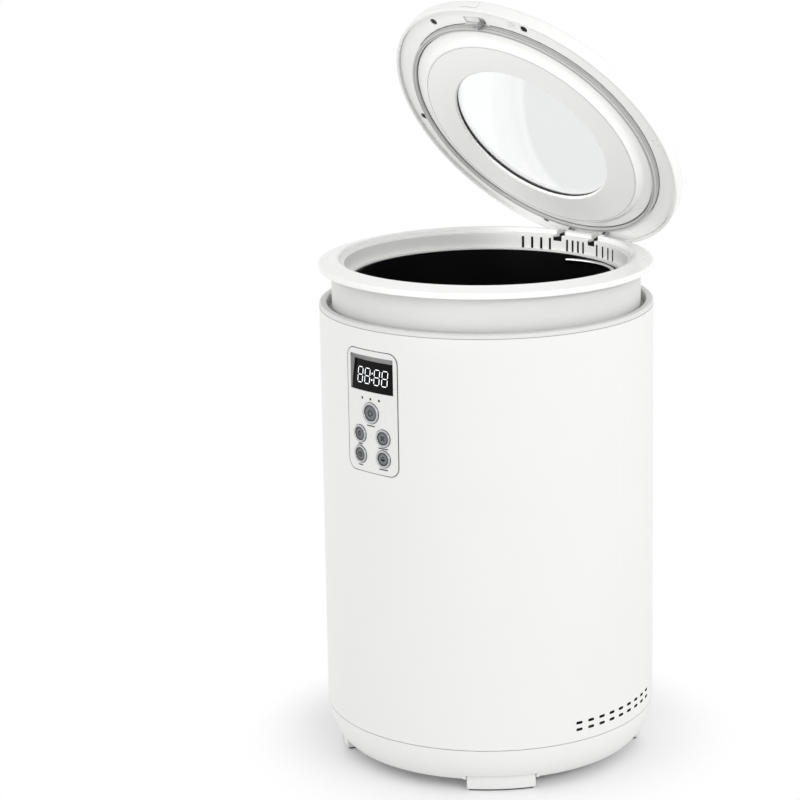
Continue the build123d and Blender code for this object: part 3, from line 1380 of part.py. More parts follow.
def bucket_bush():
    """Bush in the bucket's floor that seals and guides the spindle."""
    bush = tube(bush_r, spindle_r + run_gap, bucket_floor - bush_drop, z_bush_top)
    return bush + tube(bush_flange_r, spindle_r + run_gap, z_bucket_in,
                       z_bucket_in + bush_flange_t)


def drive_spindle():
    """Spindle with a hexagonal cup that drops over the driving hexagon."""
    cup = rod(cup_r, z_cup, z_cup + cup_h)
    socket = extrude(RegularPolygon(hex_r + socket_gap, 6), z_hex_top + 1 - z_cup)
    cup -= Pos(0, 0, z_cup) * socket
    return cup + rod(spindle_r, z_cup + cup_h - 1, z_hub_top - spindle_r)


def agitator():
    """Hub with tilted arms that sweep the floor, each with an upright scraper."""
    hub = rod(hub_r, z_bush_top + key_play, z_hub_top)
    hub = fillet(rim_edges(hub, Plane.XY.offset(z_hub_top)), 0.4 * hub_r)
    length = blade_reach - hub_r + scraper_w / 2
    z_arm = z_bucket_in + blade_h / 2 + blade_t
    arm = Pos(hub_r - scraper_w / 2 + length / 2, 0, z_arm) * Rot(arm_tilt, 0, 0) * Box(
        length, blade_t, blade_h)
    scraper = block(blade_reach - scraper_w, blade_reach, -blade_t / 2, blade_t / 2, z_scraper,
                    z_scraper + scraper_h)
    sweep_piece = (arm + scraper) & rod(blade_reach, z_bucket_in + blade_t / 2, z_hub_top)
    shape = hub + [Rot(0, 0, 360 / agitator_arms * i) * sweep_piece for i in range(agitator_arms)]
    shape -= rod(bush_flange_r + free_gap, z_bucket_in, z_bush_top + key_play)
    return shape - rod(spindle_r + run_gap, z_bucket_in, z_hub_top - spindle_r + run_gap)


def bail_ring(r, from_angle, to_angle):
    """Part of the bail's half ring, as a bent round bar; angles from one pivot."""
    start = polar(bail_turn + 90 + from_angle, bail_r, z_pivot)
    face = Plane(origin=start.origin, x_dir=(0, 0, 1), z_dir=start.x_dir) * Circle(r)
    return revolve(face, Axis((0, 0, z_pivot), (0, 0, 1)), to_angle - from_angle)


def bail_lean(item):
    """Lift the bail about its pivots until its grip rests on the bucket's rim."""
    a = radians(bail_turn)
    return item.rotate(Axis((0, 0, z_pivot), (cos(a), sin(a), 0)), bail_lift)


def bail_handle():
    """Steel wire bail: half a ring with ends turned outwards into the bucket's lugs."""
    wire = bail_ring(wire_r, 0, 180)
    sunk = 0.7 * wire_r
    for side in (90, 270):
        end = polar(bail_turn + side, bail_r, z_pivot).offset(-sunk)
        wire += extrude(end * Circle(wire_r), sunk + bail_inset + bucket_wall - fit_gap)
    return wire


def bail_grip():
    """Black grip on the middle of the bail."""
    grip = bail_ring(grip_r, 90 - grip_sweep / 2, 90 + grip_sweep / 2)
    return grip - bail_ring(wire_r + run_gap, 90 - grip_sweep, 90 + grip_sweep)


save("bucket", bucket())
save("bucket_bush", bucket_bush())
save("drive_spindle", drive_spindle())
save("agitator", agitator())
save("bail_handle", bail_lean(bail_handle()))
save("bail_grip", bail_lean(bail_grip()))
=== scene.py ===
"""Finishes and small pieces for an electric food waste composter, laid out as an add-on."""

from math import cos, pi, radians, sin, sqrt

import bmesh
import bpy
from mathutils import Matrix, Vector


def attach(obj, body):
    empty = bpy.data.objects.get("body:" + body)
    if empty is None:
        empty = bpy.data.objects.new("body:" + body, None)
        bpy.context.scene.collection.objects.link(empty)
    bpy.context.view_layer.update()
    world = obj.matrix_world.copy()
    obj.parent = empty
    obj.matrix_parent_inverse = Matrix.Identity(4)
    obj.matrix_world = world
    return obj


bl_info = {
    "name": "Food Waste Composter",
    "version": (1, 0, 0),
    "blender": (4, 5, 0),
    "location": "3D View > Sidebar > Composter",
    "description": "Finishes, prints and studio for a round food waste composter",
    "category": "Object",
}

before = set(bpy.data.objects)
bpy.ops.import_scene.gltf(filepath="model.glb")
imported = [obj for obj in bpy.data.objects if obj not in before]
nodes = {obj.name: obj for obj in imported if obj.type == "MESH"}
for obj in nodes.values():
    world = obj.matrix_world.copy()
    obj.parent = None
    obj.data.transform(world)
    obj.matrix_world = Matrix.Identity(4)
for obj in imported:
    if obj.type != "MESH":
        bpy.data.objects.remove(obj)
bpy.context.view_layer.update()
MM = 0.001

# Sizes that the source of the solids also uses, in millimetres and degrees.
BODY_R = 145.0
BODY_FLARE = 1.4
RIM_Z = 401.0
SLEEVE_H = 359.0
SLEEVE_WALL = 2.2
NECK_R = 134.1
LINER_R = 122.5
LINER_WALL = 2.2
PANEL_PROUD = 0.25
PANEL_TURN = -0.8
PANEL_W = 58.4
PANEL_H = 106.5
PANEL_Z = 331.0
PANEL_ROUND = 9.0
DISPLAY_H = 25.0
DISPLAY_Z = 361.0
DISPLAY_DEEP = 4.0
DISPLAY_SHALLOW = 0.8
KEY_PROUD = 0.9
KEY_SIDE = 13.3
KEY_ROWS = (330.2, 310.4, 292.5)
MAIN_KEY_R = 6.6
MAIN_RING_R = 9.0
KEY_R = 5.4
KEY_RING_R = 7.5
LID_OPEN = 52.4
HINGE_BACK = 134.5
HINGE_Z = 425.2
PLATE_Z = 444.4
FLANGE_Z = 441.0
SEAL_Z = 438.7
SEAL_R = 123.4
SEAL_IN_R = 119.6
INNER_PANEL_Z = 435.1
INNER_PANEL_R = 106.6

# Keys: name, side, height, radius of the cap and radius of the ring.
KEYS = (
    ("key_power", 0.0, KEY_ROWS[0], MAIN_KEY_R, MAIN_RING_R),
    ("key_1", -KEY_SIDE, KEY_ROWS[1], KEY_R, KEY_RING_R),
    ("key_2", KEY_SIDE, KEY_ROWS[1], KEY_R, KEY_RING_R),
    ("key_3", -KEY_SIDE, KEY_ROWS[2], KEY_R, KEY_RING_R),
    ("key_4", KEY_SIDE, KEY_ROWS[2], KEY_R, KEY_RING_R),
)

# Thin pieces that are made here, in millimetres and degrees.
LINE_T = 0.08               # thickness of the seam and of the lid's lines
MERGE_MM = 0.002            # corners closer than this become one
SEAM_W = 0.5                # seam between the sleeve and the trim ring
SEAM_STEPS = 60             # pieces of the seam on each side of the front
LINE_STEPS = 60             # pieces of each line round the lid
LATCH_HALF_ANGLE = 6.4      # the outer gap stays open this far on each side of the latch
PANEL_GAP_W = 0.55          # shadow gap along the panel's edge
PANEL_INSET = 0.5           # how much narrower its middle line is than the panel
RING_GAP_W = 0.5            # shadow gap round each ring
RING_OUTSET = 0.2           # its middle line past the ring
CAP_EDGE = 0.5              # each cap's printed ring lies this far inside its edge
CAP_RING_W = 0.45
LABEL_H = 0.9
# Plain bars under the keys: side, height and length.
LABEL_BARS = (
    (0.0, 319.2, 9.0),
    (-KEY_SIDE, 301.5, 5.5),
    (KEY_SIDE, 301.5, 10.5),
    (-KEY_SIDE, 283.3, 5.5),
    (KEY_SIDE, 283.3, 9.5),
)
# Fine lines on the lid: name, finish, radius, level and width.
LID_LINES = (
    ("seal_outer_gap", "gap", SEAL_R + 0.4, PLATE_Z, 0.7),
    ("seal_inner_gap", "gap", SEAL_IN_R - 0.5, FLANGE_Z, 0.6),
    ("seal_middle_line", "line", (SEAL_R + SEAL_IN_R) / 2, SEAL_Z, 0.6),
    ("inner_panel_line", "line", INNER_PANEL_R - 1.4, INNER_PANEL_Z, 0.35),
)
DIGIT_GAP = 0.65            # a bar's tip stops this far short of the digit's corner
DIGIT_PLACES = (-14.1, -5.4, 5.4, 14.1)
COLON_LEVELS = (-2.7, 2.7)
COLON_R = 0.7
# Bars of a seven-segment digit: side, level and whether the bar stands upright.
SEGMENTS = {"a": (0, 1, 0), "b": (1, 0.5, 1), "c": (1, -0.5, 1), "d": (0, -1, 0),
            "e": (-1, -0.5, 1), "f": (-1, 0.5, 1), "g": (0, 0, 0)}

# Limits that pick faces for painted shade and a painted highlight, in millimetres and as shares
# of a normal.
TURNED = 0.6                # a face looks at the axis, or away from it, past this share
DOWNWARD = -0.7             # a face looks down below this share
VENT_BAND = (50.0, 61.5)    # heights that the side vents lie between
SLOT_BAND = (424.4, 436.1)  # heights that the liner's air slots lie between
WALL_MARGIN = 0.15          # kept free on both sides of a pierced wall
RECESS_LIP = 0.2            # depth under the panel's face where the recess begins
RECESS_SPARE = (1.0, 6.0)   # reach past the window's depth and past its height
# Screws past this side and behind the body's axis take the lid's white as a painted highlight.
PAINTED_HIGHLIGHT_SCREW_X = 30.0         # screws past this side and behind the body's axis are pale

# Patterns that finishes share, in millimetres. Real mould grain and polishing lines are
# near a tenth of a millimetre, so each finish draws its own several times coarser, to show.
FLOW_MM = 90                # flow marks of a moulding
WAVE_MM = 35                # waves left by cooling
WAVE_H = 0.05
DRIFT_MM = 14               # drift of a metal's colour
PLASTIC_GLOSS = 0.04        # roughness varies this much each way
METAL_GLOSS = 0.06
NOISE_SPAN = {"From Min": 0.3, "From Max": 0.7}     # where most of a noise's values lie

# Studio, in metres and degrees.
SENSOR_MM = 36.0
MIDDLE_Z = 0.33             # height that the soft boxes aim at
FADE = (0.15, 0.23)         # the floor's shadow fades out between these distances
SPOT_BLEND = 0.4
SPOT_RADIUS = 0.03
# Soft boxes: name, azimuth from the front, elevation, distance, width, height and power.
SOFT_BOXES = (
    ("left_front_box", -15, 20, 2.4, 1.2, 1.6, 3.2),
    ("right_back_box", 150, 30, 2.4, 1.6, 1.6, 5.4),
    ("low_front_box", 10, 0, 2.2, 2.0, 0.5, 1.4),
    ("low_right_box", 78, 25, 2.2, 2.0, 0.5, 14.0),
    ("low_left_box", -60, 25, 2.2, 2.0, 0.5, 7.0),
)
# Narrow lamps on the open lid: name, azimuth, distance, height, aim (y and z), cone and power.
LID_LAMPS = (
    ("lid_lamp", 18, 2.2, 0.54, 0.08, 0.54, 8.0, 20.0),
    ("lid_foot_lamp", 18, 2.2, 0.98, 0.10, 0.48, 4.4, 75.0),
)


# ---- colours and node helpers ----

def linear(hex_colour):
    """Linear RGB of an sRGB hex colour."""
    parts = [int(hex_colour[i:i + 2], 16) / 255 for i in (1, 3, 5)]
    return [c / 12.92 if c <= 0.04045 else ((c + 0.055) / 1.055) ** 2.4 for c in parts]


def add_node(tree, kind, inputs=None, **settings):
    """Add a node with its settings; inputs are values, or sockets to link from."""
    node = tree.nodes.new(kind)
    for name, value in settings.items():
        setattr(node, name, value)
    for name, value in (inputs or {}).items():
        if isinstance(value, bpy.types.NodeSocket):
            tree.links.new(value, node.inputs[name])
        else:
            node.inputs[name].default_value = value
    return node


def rgba(colour, gain=1.0):
    """Colour with alpha, made a little lighter or darker."""
    return tuple(min(1.0, c * gain) for c in tuple(colour)[:3]) + (1.0,)


def new_material(name):
    """Material with an empty tree."""
    material = bpy.data.materials.new(name)
    material.use_nodes = True
    material.node_tree.nodes.clear()
    return material, material.node_tree


def moulded_plastic(name, colour, rough, grain_mm, grain_h, spread=0.012, ior=1.53,
                    specular=0.5):
    """Injection-moulded plastic: a fine eroded grain, slow waves from cooling, faint flow."""
    material, tree = new_material(name)
    place = add_node(tree, "ShaderNodeTexCoord")
    flow = add_node(tree, "ShaderNodeTexNoise",
                    {"Vector": place.outputs["Object"], "Scale": 1 / (FLOW_MM * MM),
                     "Detail": 1.0})
    wave = add_node(tree, "ShaderNodeTexNoise",
                    {"Vector": place.outputs["Object"], "Scale": 1 / (WAVE_MM * MM),
                     "Detail": 1.0})
    grain = add_node(tree, "ShaderNodeTexNoise",
                     {"Vector": place.outputs["Object"], "Scale": 1 / (grain_mm * MM),
                      "Detail": 3.0})
    tint = add_node(tree, "ShaderNodeMix",
                    {"Factor": flow.outputs["Fac"], "A": rgba(colour, 1 - spread),
                     "B": rgba(colour, 1 + spread)}, data_type="RGBA")
    gloss = add_node(tree, "ShaderNodeMapRange",
                     {**NOISE_SPAN, "Value": grain.outputs["Fac"],
                      "To Min": rough - PLASTIC_GLOSS, "To Max": rough + PLASTIC_GLOSS})
    slow = add_node(tree, "ShaderNodeBump",
                    {"Height": wave.outputs["Fac"], "Distance": WAVE_H * MM, "Strength": 0.35})
    fine = add_node(tree, "ShaderNodeBump",
                    {"Height": grain.outputs["Fac"], "Distance": grain_h * MM,
                     "Strength": 0.5, "Normal": slow.outputs["Normal"]})
    shader = add_node(tree, "ShaderNodeBsdfPrincipled",
                      {"Base Color": tint.outputs["Result"], "Roughness": gloss.outputs["Result"],
                       "Normal": fine.outputs["Normal"], "IOR": ior,
                       "Specular IOR Level": specular})
    add_node(tree, "ShaderNodeOutputMaterial", {"Surface": shader.outputs["BSDF"]})
    return material


def worked_metal(name, colour, rough, line_mm, line_h, stretch=(1, 1, 1), spread=0.04):
    """Metal with fine lines along its working direction and a slow drift of colour."""
    material, tree = new_material(name)
    place = add_node(tree, "ShaderNodeTexCoord")
    along = add_node(tree, "ShaderNodeMapping",
                     {"Vector": place.outputs["Object"], "Scale": stretch})
    lines = add_node(tree, "ShaderNodeTexNoise",
                     {"Vector": along.outputs["Vector"], "Scale": 1 / (line_mm * MM),
                      "Detail": 4.0})
    drift = add_node(tree, "ShaderNodeTexNoise",
                     {"Vector": place.outputs["Object"], "Scale": 1 / (DRIFT_MM * MM),
                      "Detail": 2.0})
    tint = add_node(tree, "ShaderNodeMix",
                    {"Factor": drift.outputs["Fac"], "A": rgba(colour, 1 - spread),
                     "B": rgba(colour, 1 + spread)}, data_type="RGBA")
    gloss = add_node(tree, "ShaderNodeMapRange",
                     {**NOISE_SPAN, "Value": lines.outputs["Fac"],
                      "To Min": rough - METAL_GLOSS, "To Max": rough + METAL_GLOSS})
    fine = add_node(tree, "ShaderNodeBump",
                    {"Height": lines.outputs["Fac"], "Distance": line_h * MM,
                     "Strength": 0.6})
    shader = add_node(tree, "ShaderNodeBsdfPrincipled",
                      {"Base Color": tint.outputs["Result"], "Roughness": gloss.outputs["Result"],
                       "Normal": fine.outputs["Normal"], "Metallic": 1.0})
    add_node(tree, "ShaderNodeOutputMaterial", {"Surface": shader.outputs["BSDF"]})
    return material


def dress(material, *names):
    """Give a material to nodes of the frame."""
    for name in names:
        item = nodes[name]
        for slot in item.material_slots:
            slot.material = material
        if not item.material_slots:
            item.data.materials.append(material)


# ---- small printed and lit shapes ----

def stroke(points, width, closed=False):
    """Quads along a line of (u, v) points, as wide as the brush."""
    count = len(points)
    sides = []
    for i, (u, v) in enumerate(points):
        before = points[i - 1] if closed or i else points[i]
        after = points[(i + 1) % count] if closed or i < count - 1 else points[i]
        run = Vector((after[0] - before[0], after[1] - before[1])).normalized()
        across = Vector((-run.y, run.x)) * width / 2
        sides.append(((u + across.x, v + across.y), (u - across.x, v - across.y)))
    last = count if closed else count - 1
    return [[sides[i][0], sides[i][1], sides[(i + 1) % count][1], sides[(i + 1) % count][0]]
            for i in range(last)]


def arc(radius, start, end, steps=28, middle=(0.0, 0.0)):
    """Points on an arc, with angles in degrees from +u."""
    return [(middle[0] + radius * cos(radians(start + (end - start) * i / steps)),
             middle[1] + radius * sin(radians(start + (end - start) * i / steps)))
            for i in range(steps + 1)]


def pill(u, v, length, height, steps=8):
    """Bar with round ends, in short pieces that follow a curved surface."""
    reach = length / 2 - height / 2
    line = [(u - reach + 2 * reach * i / steps, v) for i in range(steps + 1)]
    return (stroke(line, height) + [arc(height / 2, -90, 90, steps, (u + reach, v))]
            + [arc(height / 2, 90, 270, steps, (u - reach, v))])


def dot(radius, middle=(0.0, 0.0)):
    """Points round a small dot."""
    return arc(radius, 0, 345, 23, middle)


def ring(radius, width, middle=(0.0, 0.0), steps=35):
    """Quads round a thin ring."""
    return stroke(arc(radius, 0, 350, steps, middle), width, True)


def sheet_piece(name, faces, place, thickness, material, body, facing=None):
    """Thin raised piece from flat faces, laid on a surface by place(u, v), facing outwards."""
    mesh = bpy.data.meshes.new(name)
    builder = bmesh.new()
    for face in faces:
        builder.faces.new([builder.verts.new(Vector(place(u, v)) * MM) for u, v in face])
    bmesh.ops.remove_doubles(builder, verts=builder.verts, dist=MERGE_MM * MM)
    bmesh.ops.recalc_face_normals(builder, faces=builder.faces)
    outward = sum((f.normal for f in builder.faces), Vector())
    middle = Vector(place(0.0, 0.0)) * MM
    if outward.dot(facing or Vector((middle.x, middle.y, 0.0))) < 0:
        bmesh.ops.reverse_faces(builder, faces=builder.faces)
    builder.to_mesh(mesh)
    builder.free()
    piece = bpy.data.objects.new(name, mesh)
    bpy.context.scene.collection.objects.link(piece)
    mesh.materials.append(material)
    solid = piece.modifiers.new("thickness", "SOLIDIFY")
    solid.thickness = thickness * MM
    solid.offset = 1.0
    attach(piece, body)
    return piece


def sleeve_radius(z):
    """Outer radius of the flared sleeve at a height, in millimetres."""
    return BODY_R + BODY_FLARE * (RIM_Z - z) / SLEEVE_H


def on_surface(side, z, radius):
    """Point beside the panel's middle on a round surface."""
    angle = side / radius + radians(PANEL_TURN)
    return (radius * sin(angle), -radius * cos(angle), z)


def on_panel(u, v):
    """Point on the control panel's face."""
    return on_surface(u, v, sleeve_radius(v) + PANEL_PROUD)


def on_display(u, v):
    """Point on the tilted display window, from its middle."""
    face = sleeve_radius(DISPLAY_Z) + PANEL_PROUD
    share = v / DISPLAY_H + 0.5
    depth = DISPLAY_SHALLOW + (DISPLAY_DEEP - DISPLAY_SHALLOW) * share
    return on_surface(u, DISPLAY_Z + v, face - depth)


def on_key(side, z):
    """Place function for one key's flat cap."""
    radius = sleeve_radius(z)
    angle = side / radius + radians(PANEL_TURN)
    out = radius + KEY_PROUD

    def place(u, v):
        return (out * sin(angle) + u * cos(angle), -out * cos(angle) + u * sin(angle), z + v)
    return place


def on_lid(height):
    """Place function for a level of the closed lid, turned to the open lid."""
    turn = radians(LID_OPEN)

    def place(u, v):
        back, up = v - HINGE_BACK, height - HINGE_Z
        return (u, HINGE_BACK + back * cos(turn) + up * sin(turn),
                HINGE_Z - back * sin(turn) + up * cos(turn))
    return place


def rounded_frame(width, height, radius, middle_v, steps=6):
    """Points round a rectangle with round corners, about (0, middle_v)."""
    u, v = width / 2 - radius, height / 2 - radius
    corners = ((u, v, 0), (-u, v, 90), (-u, -v, 180), (u, -v, 270))
    return [point for a, b, start in corners
            for point in arc(radius, start, start + 90, steps, (a, middle_v + b))]


def paint_faces(name, material, chosen):
    """Give a second material to the faces of a node that chosen(centre, normal) picks."""
    item = nodes[name]
    item.data.materials.append(material)
    last = len(item.data.materials) - 1
    for face in item.data.polygons:
        if chosen(item.matrix_world @ face.center / MM, item.matrix_world.to_3x3() @ face.normal):
            face.material_index = last


def axis_distance(centre):
    """Distance of a point from the body's axis."""
    return sqrt(centre.x**2 + centre.y**2)


def faces_axis(centre, normal):
    """Whether a face looks inwards at the body's axis."""
    return centre.x * normal.x + centre.y * normal.y < -TURNED * axis_distance(centre)


def faces_away(centre, normal):
    """Whether a face looks outwards from the body's axis."""
    return centre.x * normal.x + centre.y * normal.y > TURNED * axis_distance(centre)


def in_holes(band, radius, wall):
    """Choice of the faces inside the holes of a round wall, between two heights."""
    def chosen(centre, normal):
        inside = radius - wall + WALL_MARGIN < axis_distance(centre) < radius - WALL_MARGIN
        return band[0] < centre.z < band[1] and inside and not faces_away(centre, normal)
    return chosen


def in_recess(centre, normal):
    """Whether a face is a wall of the recess round the display."""
    depth = sleeve_radius(centre.z) + PANEL_PROUD - axis_distance(centre)
    deep, tall = RECESS_SPARE
    return (RECESS_LIP < depth < DISPLAY_DEEP + deep
            and abs(centre.z - DISPLAY_Z) < DISPLAY_H / 2 + tall)


def segment(middle_u, width, height, bar, gap, key):
    """One bar of a seven-segment digit, with pointed ends, in two halves."""
    side, level, upright = SEGMENTS[key]
    reach_u, reach_v = width / 2 - bar / 2, height / 2 - bar / 2
    u, v = middle_u + side * reach_u, level * reach_v
    tip, b = (reach_v if upright else 2 * reach_u) / 2 - gap, bar / 2
    left = [(-tip, 0), (-tip + b, b), (0, b), (0, -b), (-tip + b, -b)]
    right = [(0, -b), (0, b), (tip - b, b), (tip, 0), (tip - b, -b)]
    return [[(u + y, v + x) if upright else (u + x, v + y) for x, y in half]
            for half in (left, right)]


# ---- sizes and colours ----

class ComposterShell(bpy.types.PropertyGroup):
    """Colours of the housing, the lid and the bucket."""

    shell: bpy.props.FloatVectorProperty(
        name="Shell", description="Satin ABS of the sleeve and the base", subtype="COLOR",
        default=linear("#E6E6E5"), min=0.0, max=1.0)
    # The trim is darker than the shell as painted shade on its upturned lip.
    trim: bpy.props.FloatVectorProperty(
        name="Trim", description="Satin ABS of the trim ring", subtype="COLOR",
        default=linear("#DADAD9"), min=0.0, max=1.0)
    collar: bpy.props.FloatVectorProperty(
        name="Collar", description="Polished ABS of the collar and the lid",
        subtype="COLOR", default=linear("#ECECEB"), min=0.0, max=1.0)
    bezel: bpy.props.FloatVectorProperty(
        name="Bezel", description="Polished ABS of the control panel", subtype="COLOR",
        default=linear("#E2E2E1"), min=0.0, max=1.0)
    inner: bpy.props.FloatVectorProperty(
        name="Inner white", description="Polypropylene of the neck",
        subtype="COLOR", default=linear("#DBDBD9"), min=0.0, max=1.0)
    liner: bpy.props.FloatVectorProperty(
        name="Liner white", description="Polypropylene of the liner behind the bucket",
        subtype="COLOR", default=linear("#E4E4E2"), min=0.0, max=1.0)
    # The lid's white is lighter than the neck's as painted light on the shaded underside.
    under: bpy.props.FloatVectorProperty(
        name="Lid white", description="Polypropylene of the lid's underside and inner panel",
        subtype="COLOR", default=linear("#F8F8F6"), min=0.0, max=1.0)
    seal: bpy.props.FloatVectorProperty(
        name="Seal", description="Silicone of the lid's seal", subtype="COLOR",
        default=linear("#C4C4C2"), min=0.0, max=1.0)
    coating: bpy.props.FloatVectorProperty(
        name="Bucket coating", description="Non-stick coating of the bucket", subtype="COLOR",
        default=linear("#040405"), min=0.0, max=1.0)


class ComposterPanel(bpy.types.PropertyGroup):
    """Sizes and colours of what is lit and printed on the control panel."""

    digit_h: bpy.props.FloatProperty(
        name="Digit height", description="Height of a digit on the display",
        default=13.3 * MM, unit="LENGTH", precision=4)
    digit_w: bpy.props.FloatProperty(
        name="Digit width", description="Width of a digit on the display",
        default=6.4 * MM, unit="LENGTH", precision=4)
    digit_bar: bpy.props.FloatProperty(
        name="Bar width", description="Width of one lit bar of a digit",
        default=0.56 * MM, unit="LENGTH", precision=4)
    ink_t: bpy.props.FloatProperty(
        name="Ink thickness", description="Height of printed ink over its surface",
        default=0.12 * MM, unit="LENGTH", precision=5)
    digit_colour: bpy.props.FloatVectorProperty(
        name="Digit light", description="Colour of the lit bars", subtype="COLOR",
        default=linear("#F4F7FA"), min=0.0, max=1.0)
    ink_colour: bpy.props.FloatVectorProperty(
        name="Ink", description="Colour of the printed marks", subtype="COLOR",
        default=linear("#161718"), min=0.0, max=1.0)


class ComposterStudio(bpy.types.PropertyGroup):
    """Camera, lamps and floor."""

    azimuth: bpy.props.FloatProperty(
        name="Camera azimuth", description="Angle of the camera from the front towards +X",
        default=radians(41.3), subtype="ANGLE")
    pitch: bpy.props.FloatProperty(
        name="Camera pitch", description="Angle of the view below level",
        default=radians(14.7), subtype="ANGLE")
    roll: bpy.props.FloatProperty(
        name="Camera roll", description="Turn about the line of sight",
        default=radians(-0.62), subtype="ANGLE")
    distance: bpy.props.FloatProperty(
        name="Camera distance", description="Level distance from the body's axis",
        default=2.1156, unit="LENGTH")
    height: bpy.props.FloatProperty(
        name="Camera height", description="Height of the camera over the floor",
        default=0.8672, unit="LENGTH")
    lens: bpy.props.FloatProperty(
        name="Focal length", description="Focal length on a 36 mm wide sensor",
        default=112.0, unit="CAMERA")
    shift: bpy.props.FloatProperty(
        name="Camera shift", description="Sideways shift, as a share of the frame",
        default=-0.1092, precision=4)
    floor: bpy.props.FloatProperty(
        name="Floor size", description="Width of the floor", default=9.0, unit="LENGTH")
    lamp: bpy.props.FloatProperty(
        name="Lamp level", description="Gain on all the lamps", default=1.0, min=0.0)
    sky: bpy.props.FloatProperty(
        name="Sky level", description="Even light from all round", default=0.8, min=0.0)


# ---- operators ----

class COMPOSTER_OT_housing(bpy.types.Operator):
    """Finish the sleeve, base, feet, trim, collar, neck and liner"""

    bl_idname = "composter.housing"
    bl_label = "Housing"

    def execute(self, context):
        shell = context.scene.composter_shell
        # ABS from a spark-eroded mould: a satin that spreads highlights but keeps them soft.
        satin = moulded_plastic("satin_abs_white", shell.shell, rough=0.42, grain_mm=1.4,
                                grain_h=0.012)
        # The trim ring's copy of this ABS is darker than the shell's, as painted shade on its
        # upturned lip.
        trim = moulded_plastic("satin_abs_trim_painted_shade", shell.trim, rough=0.42, grain_mm=1.4,
                               grain_h=0.012)
        # ABS from a polished mould: clear highlights with a slow waviness.
        polished = moulded_plastic("polished_abs_white", shell.collar, rough=0.24, grain_mm=2.5,
                                   grain_h=0.006)
        # Polypropylene: a little greyer and duller than ABS.
        inner = moulded_plastic("polypropylene_white", shell.inner, rough=0.48, grain_mm=1.8,
                                grain_h=0.02, ior=1.49)
        liner = moulded_plastic("polypropylene_liner", shell.liner, rough=0.45, grain_mm=1.8,
                                grain_h=0.015, ior=1.49)
        # Natural rubber: matt black with a coarse grain.
        rubber = moulded_plastic("rubber_black", linear("#232323"), rough=0.8, grain_mm=0.9,
                                 grain_h=0.05, ior=1.52)
        # Glass-filled nylon: black, between satin and matt.
        bracket = moulded_plastic("nylon_bracket_black", linear("#161617"), rough=0.55,
                                  grain_mm=1.3, grain_h=0.03)
        dress(satin, "outer_sleeve", "base_tray", "feet", "filter_cover")
        dress(trim, "trim_ring")
        dress(polished, "collar_ring")
        dress(inner, "neck_housing")
        dress(liner, "liner")
        dress(rubber, "foot_pads")
        dress(bracket, "hinge_bracket")
        self.dark_faces()
        self.seam()
        return {"FINISHED"}

    def dark_faces(self):
        """Paint shade on the faces that look inwards, on the holes' walls and on the collar's
        underside.
        """
        # Painted shade: matt black on the faces that look inwards and on the walls of the slots
        # and side vents, so that they stay dark.
        painted_hole_shade = moulded_plastic("painted_shade_black", linear("#0C0C0D"), rough=0.95, grain_mm=0.6,
                                grain_h=0.05, spread=0.1)
        # Painted shade: the collar's downward faces are dark grey, so that the neck under the
        # collar lies in deeper shade.
        painted_underside_shade = moulded_plastic("painted_shade_underside_grey", linear("#3C3C3C"), rough=0.6, grain_mm=1.4,
                               grain_h=0.02)
        for name in ("neck_housing", "outer_sleeve"):
            paint_faces(name, painted_hole_shade, faces_axis)
        paint_faces("outer_sleeve", painted_hole_shade,
                    in_holes(VENT_BAND, sleeve_radius(VENT_BAND[0]), SLEEVE_WALL))
        paint_faces("liner", painted_hole_shade, in_holes(SLOT_BAND, LINER_R + LINER_WALL, LINER_WALL))
        paint_faces("collar_ring", painted_underside_shade, lambda centre, normal: normal.z < DOWNWARD
                    and axis_distance(centre) > NECK_R)

    def seam(self):
        """Draw the fine seam between the sleeve and the trim ring."""
        # Shadow in a joint: matt grey.
        grey = moulded_plastic("seam_line_grey", linear("#8F8F8E"), rough=0.8, grain_mm=0.8,
                               grain_h=0.01)
        radius = sleeve_radius(RIM_Z)
        line = [(pi * radius * i / SEAM_STEPS, RIM_Z) for i in range(-SEAM_STEPS, SEAM_STEPS + 1)]
        sheet_piece("sleeve_seam", stroke(line, SEAM_W), lambda u, v: on_surface(u, v, radius),
                    LINE_T, grey, "housing")


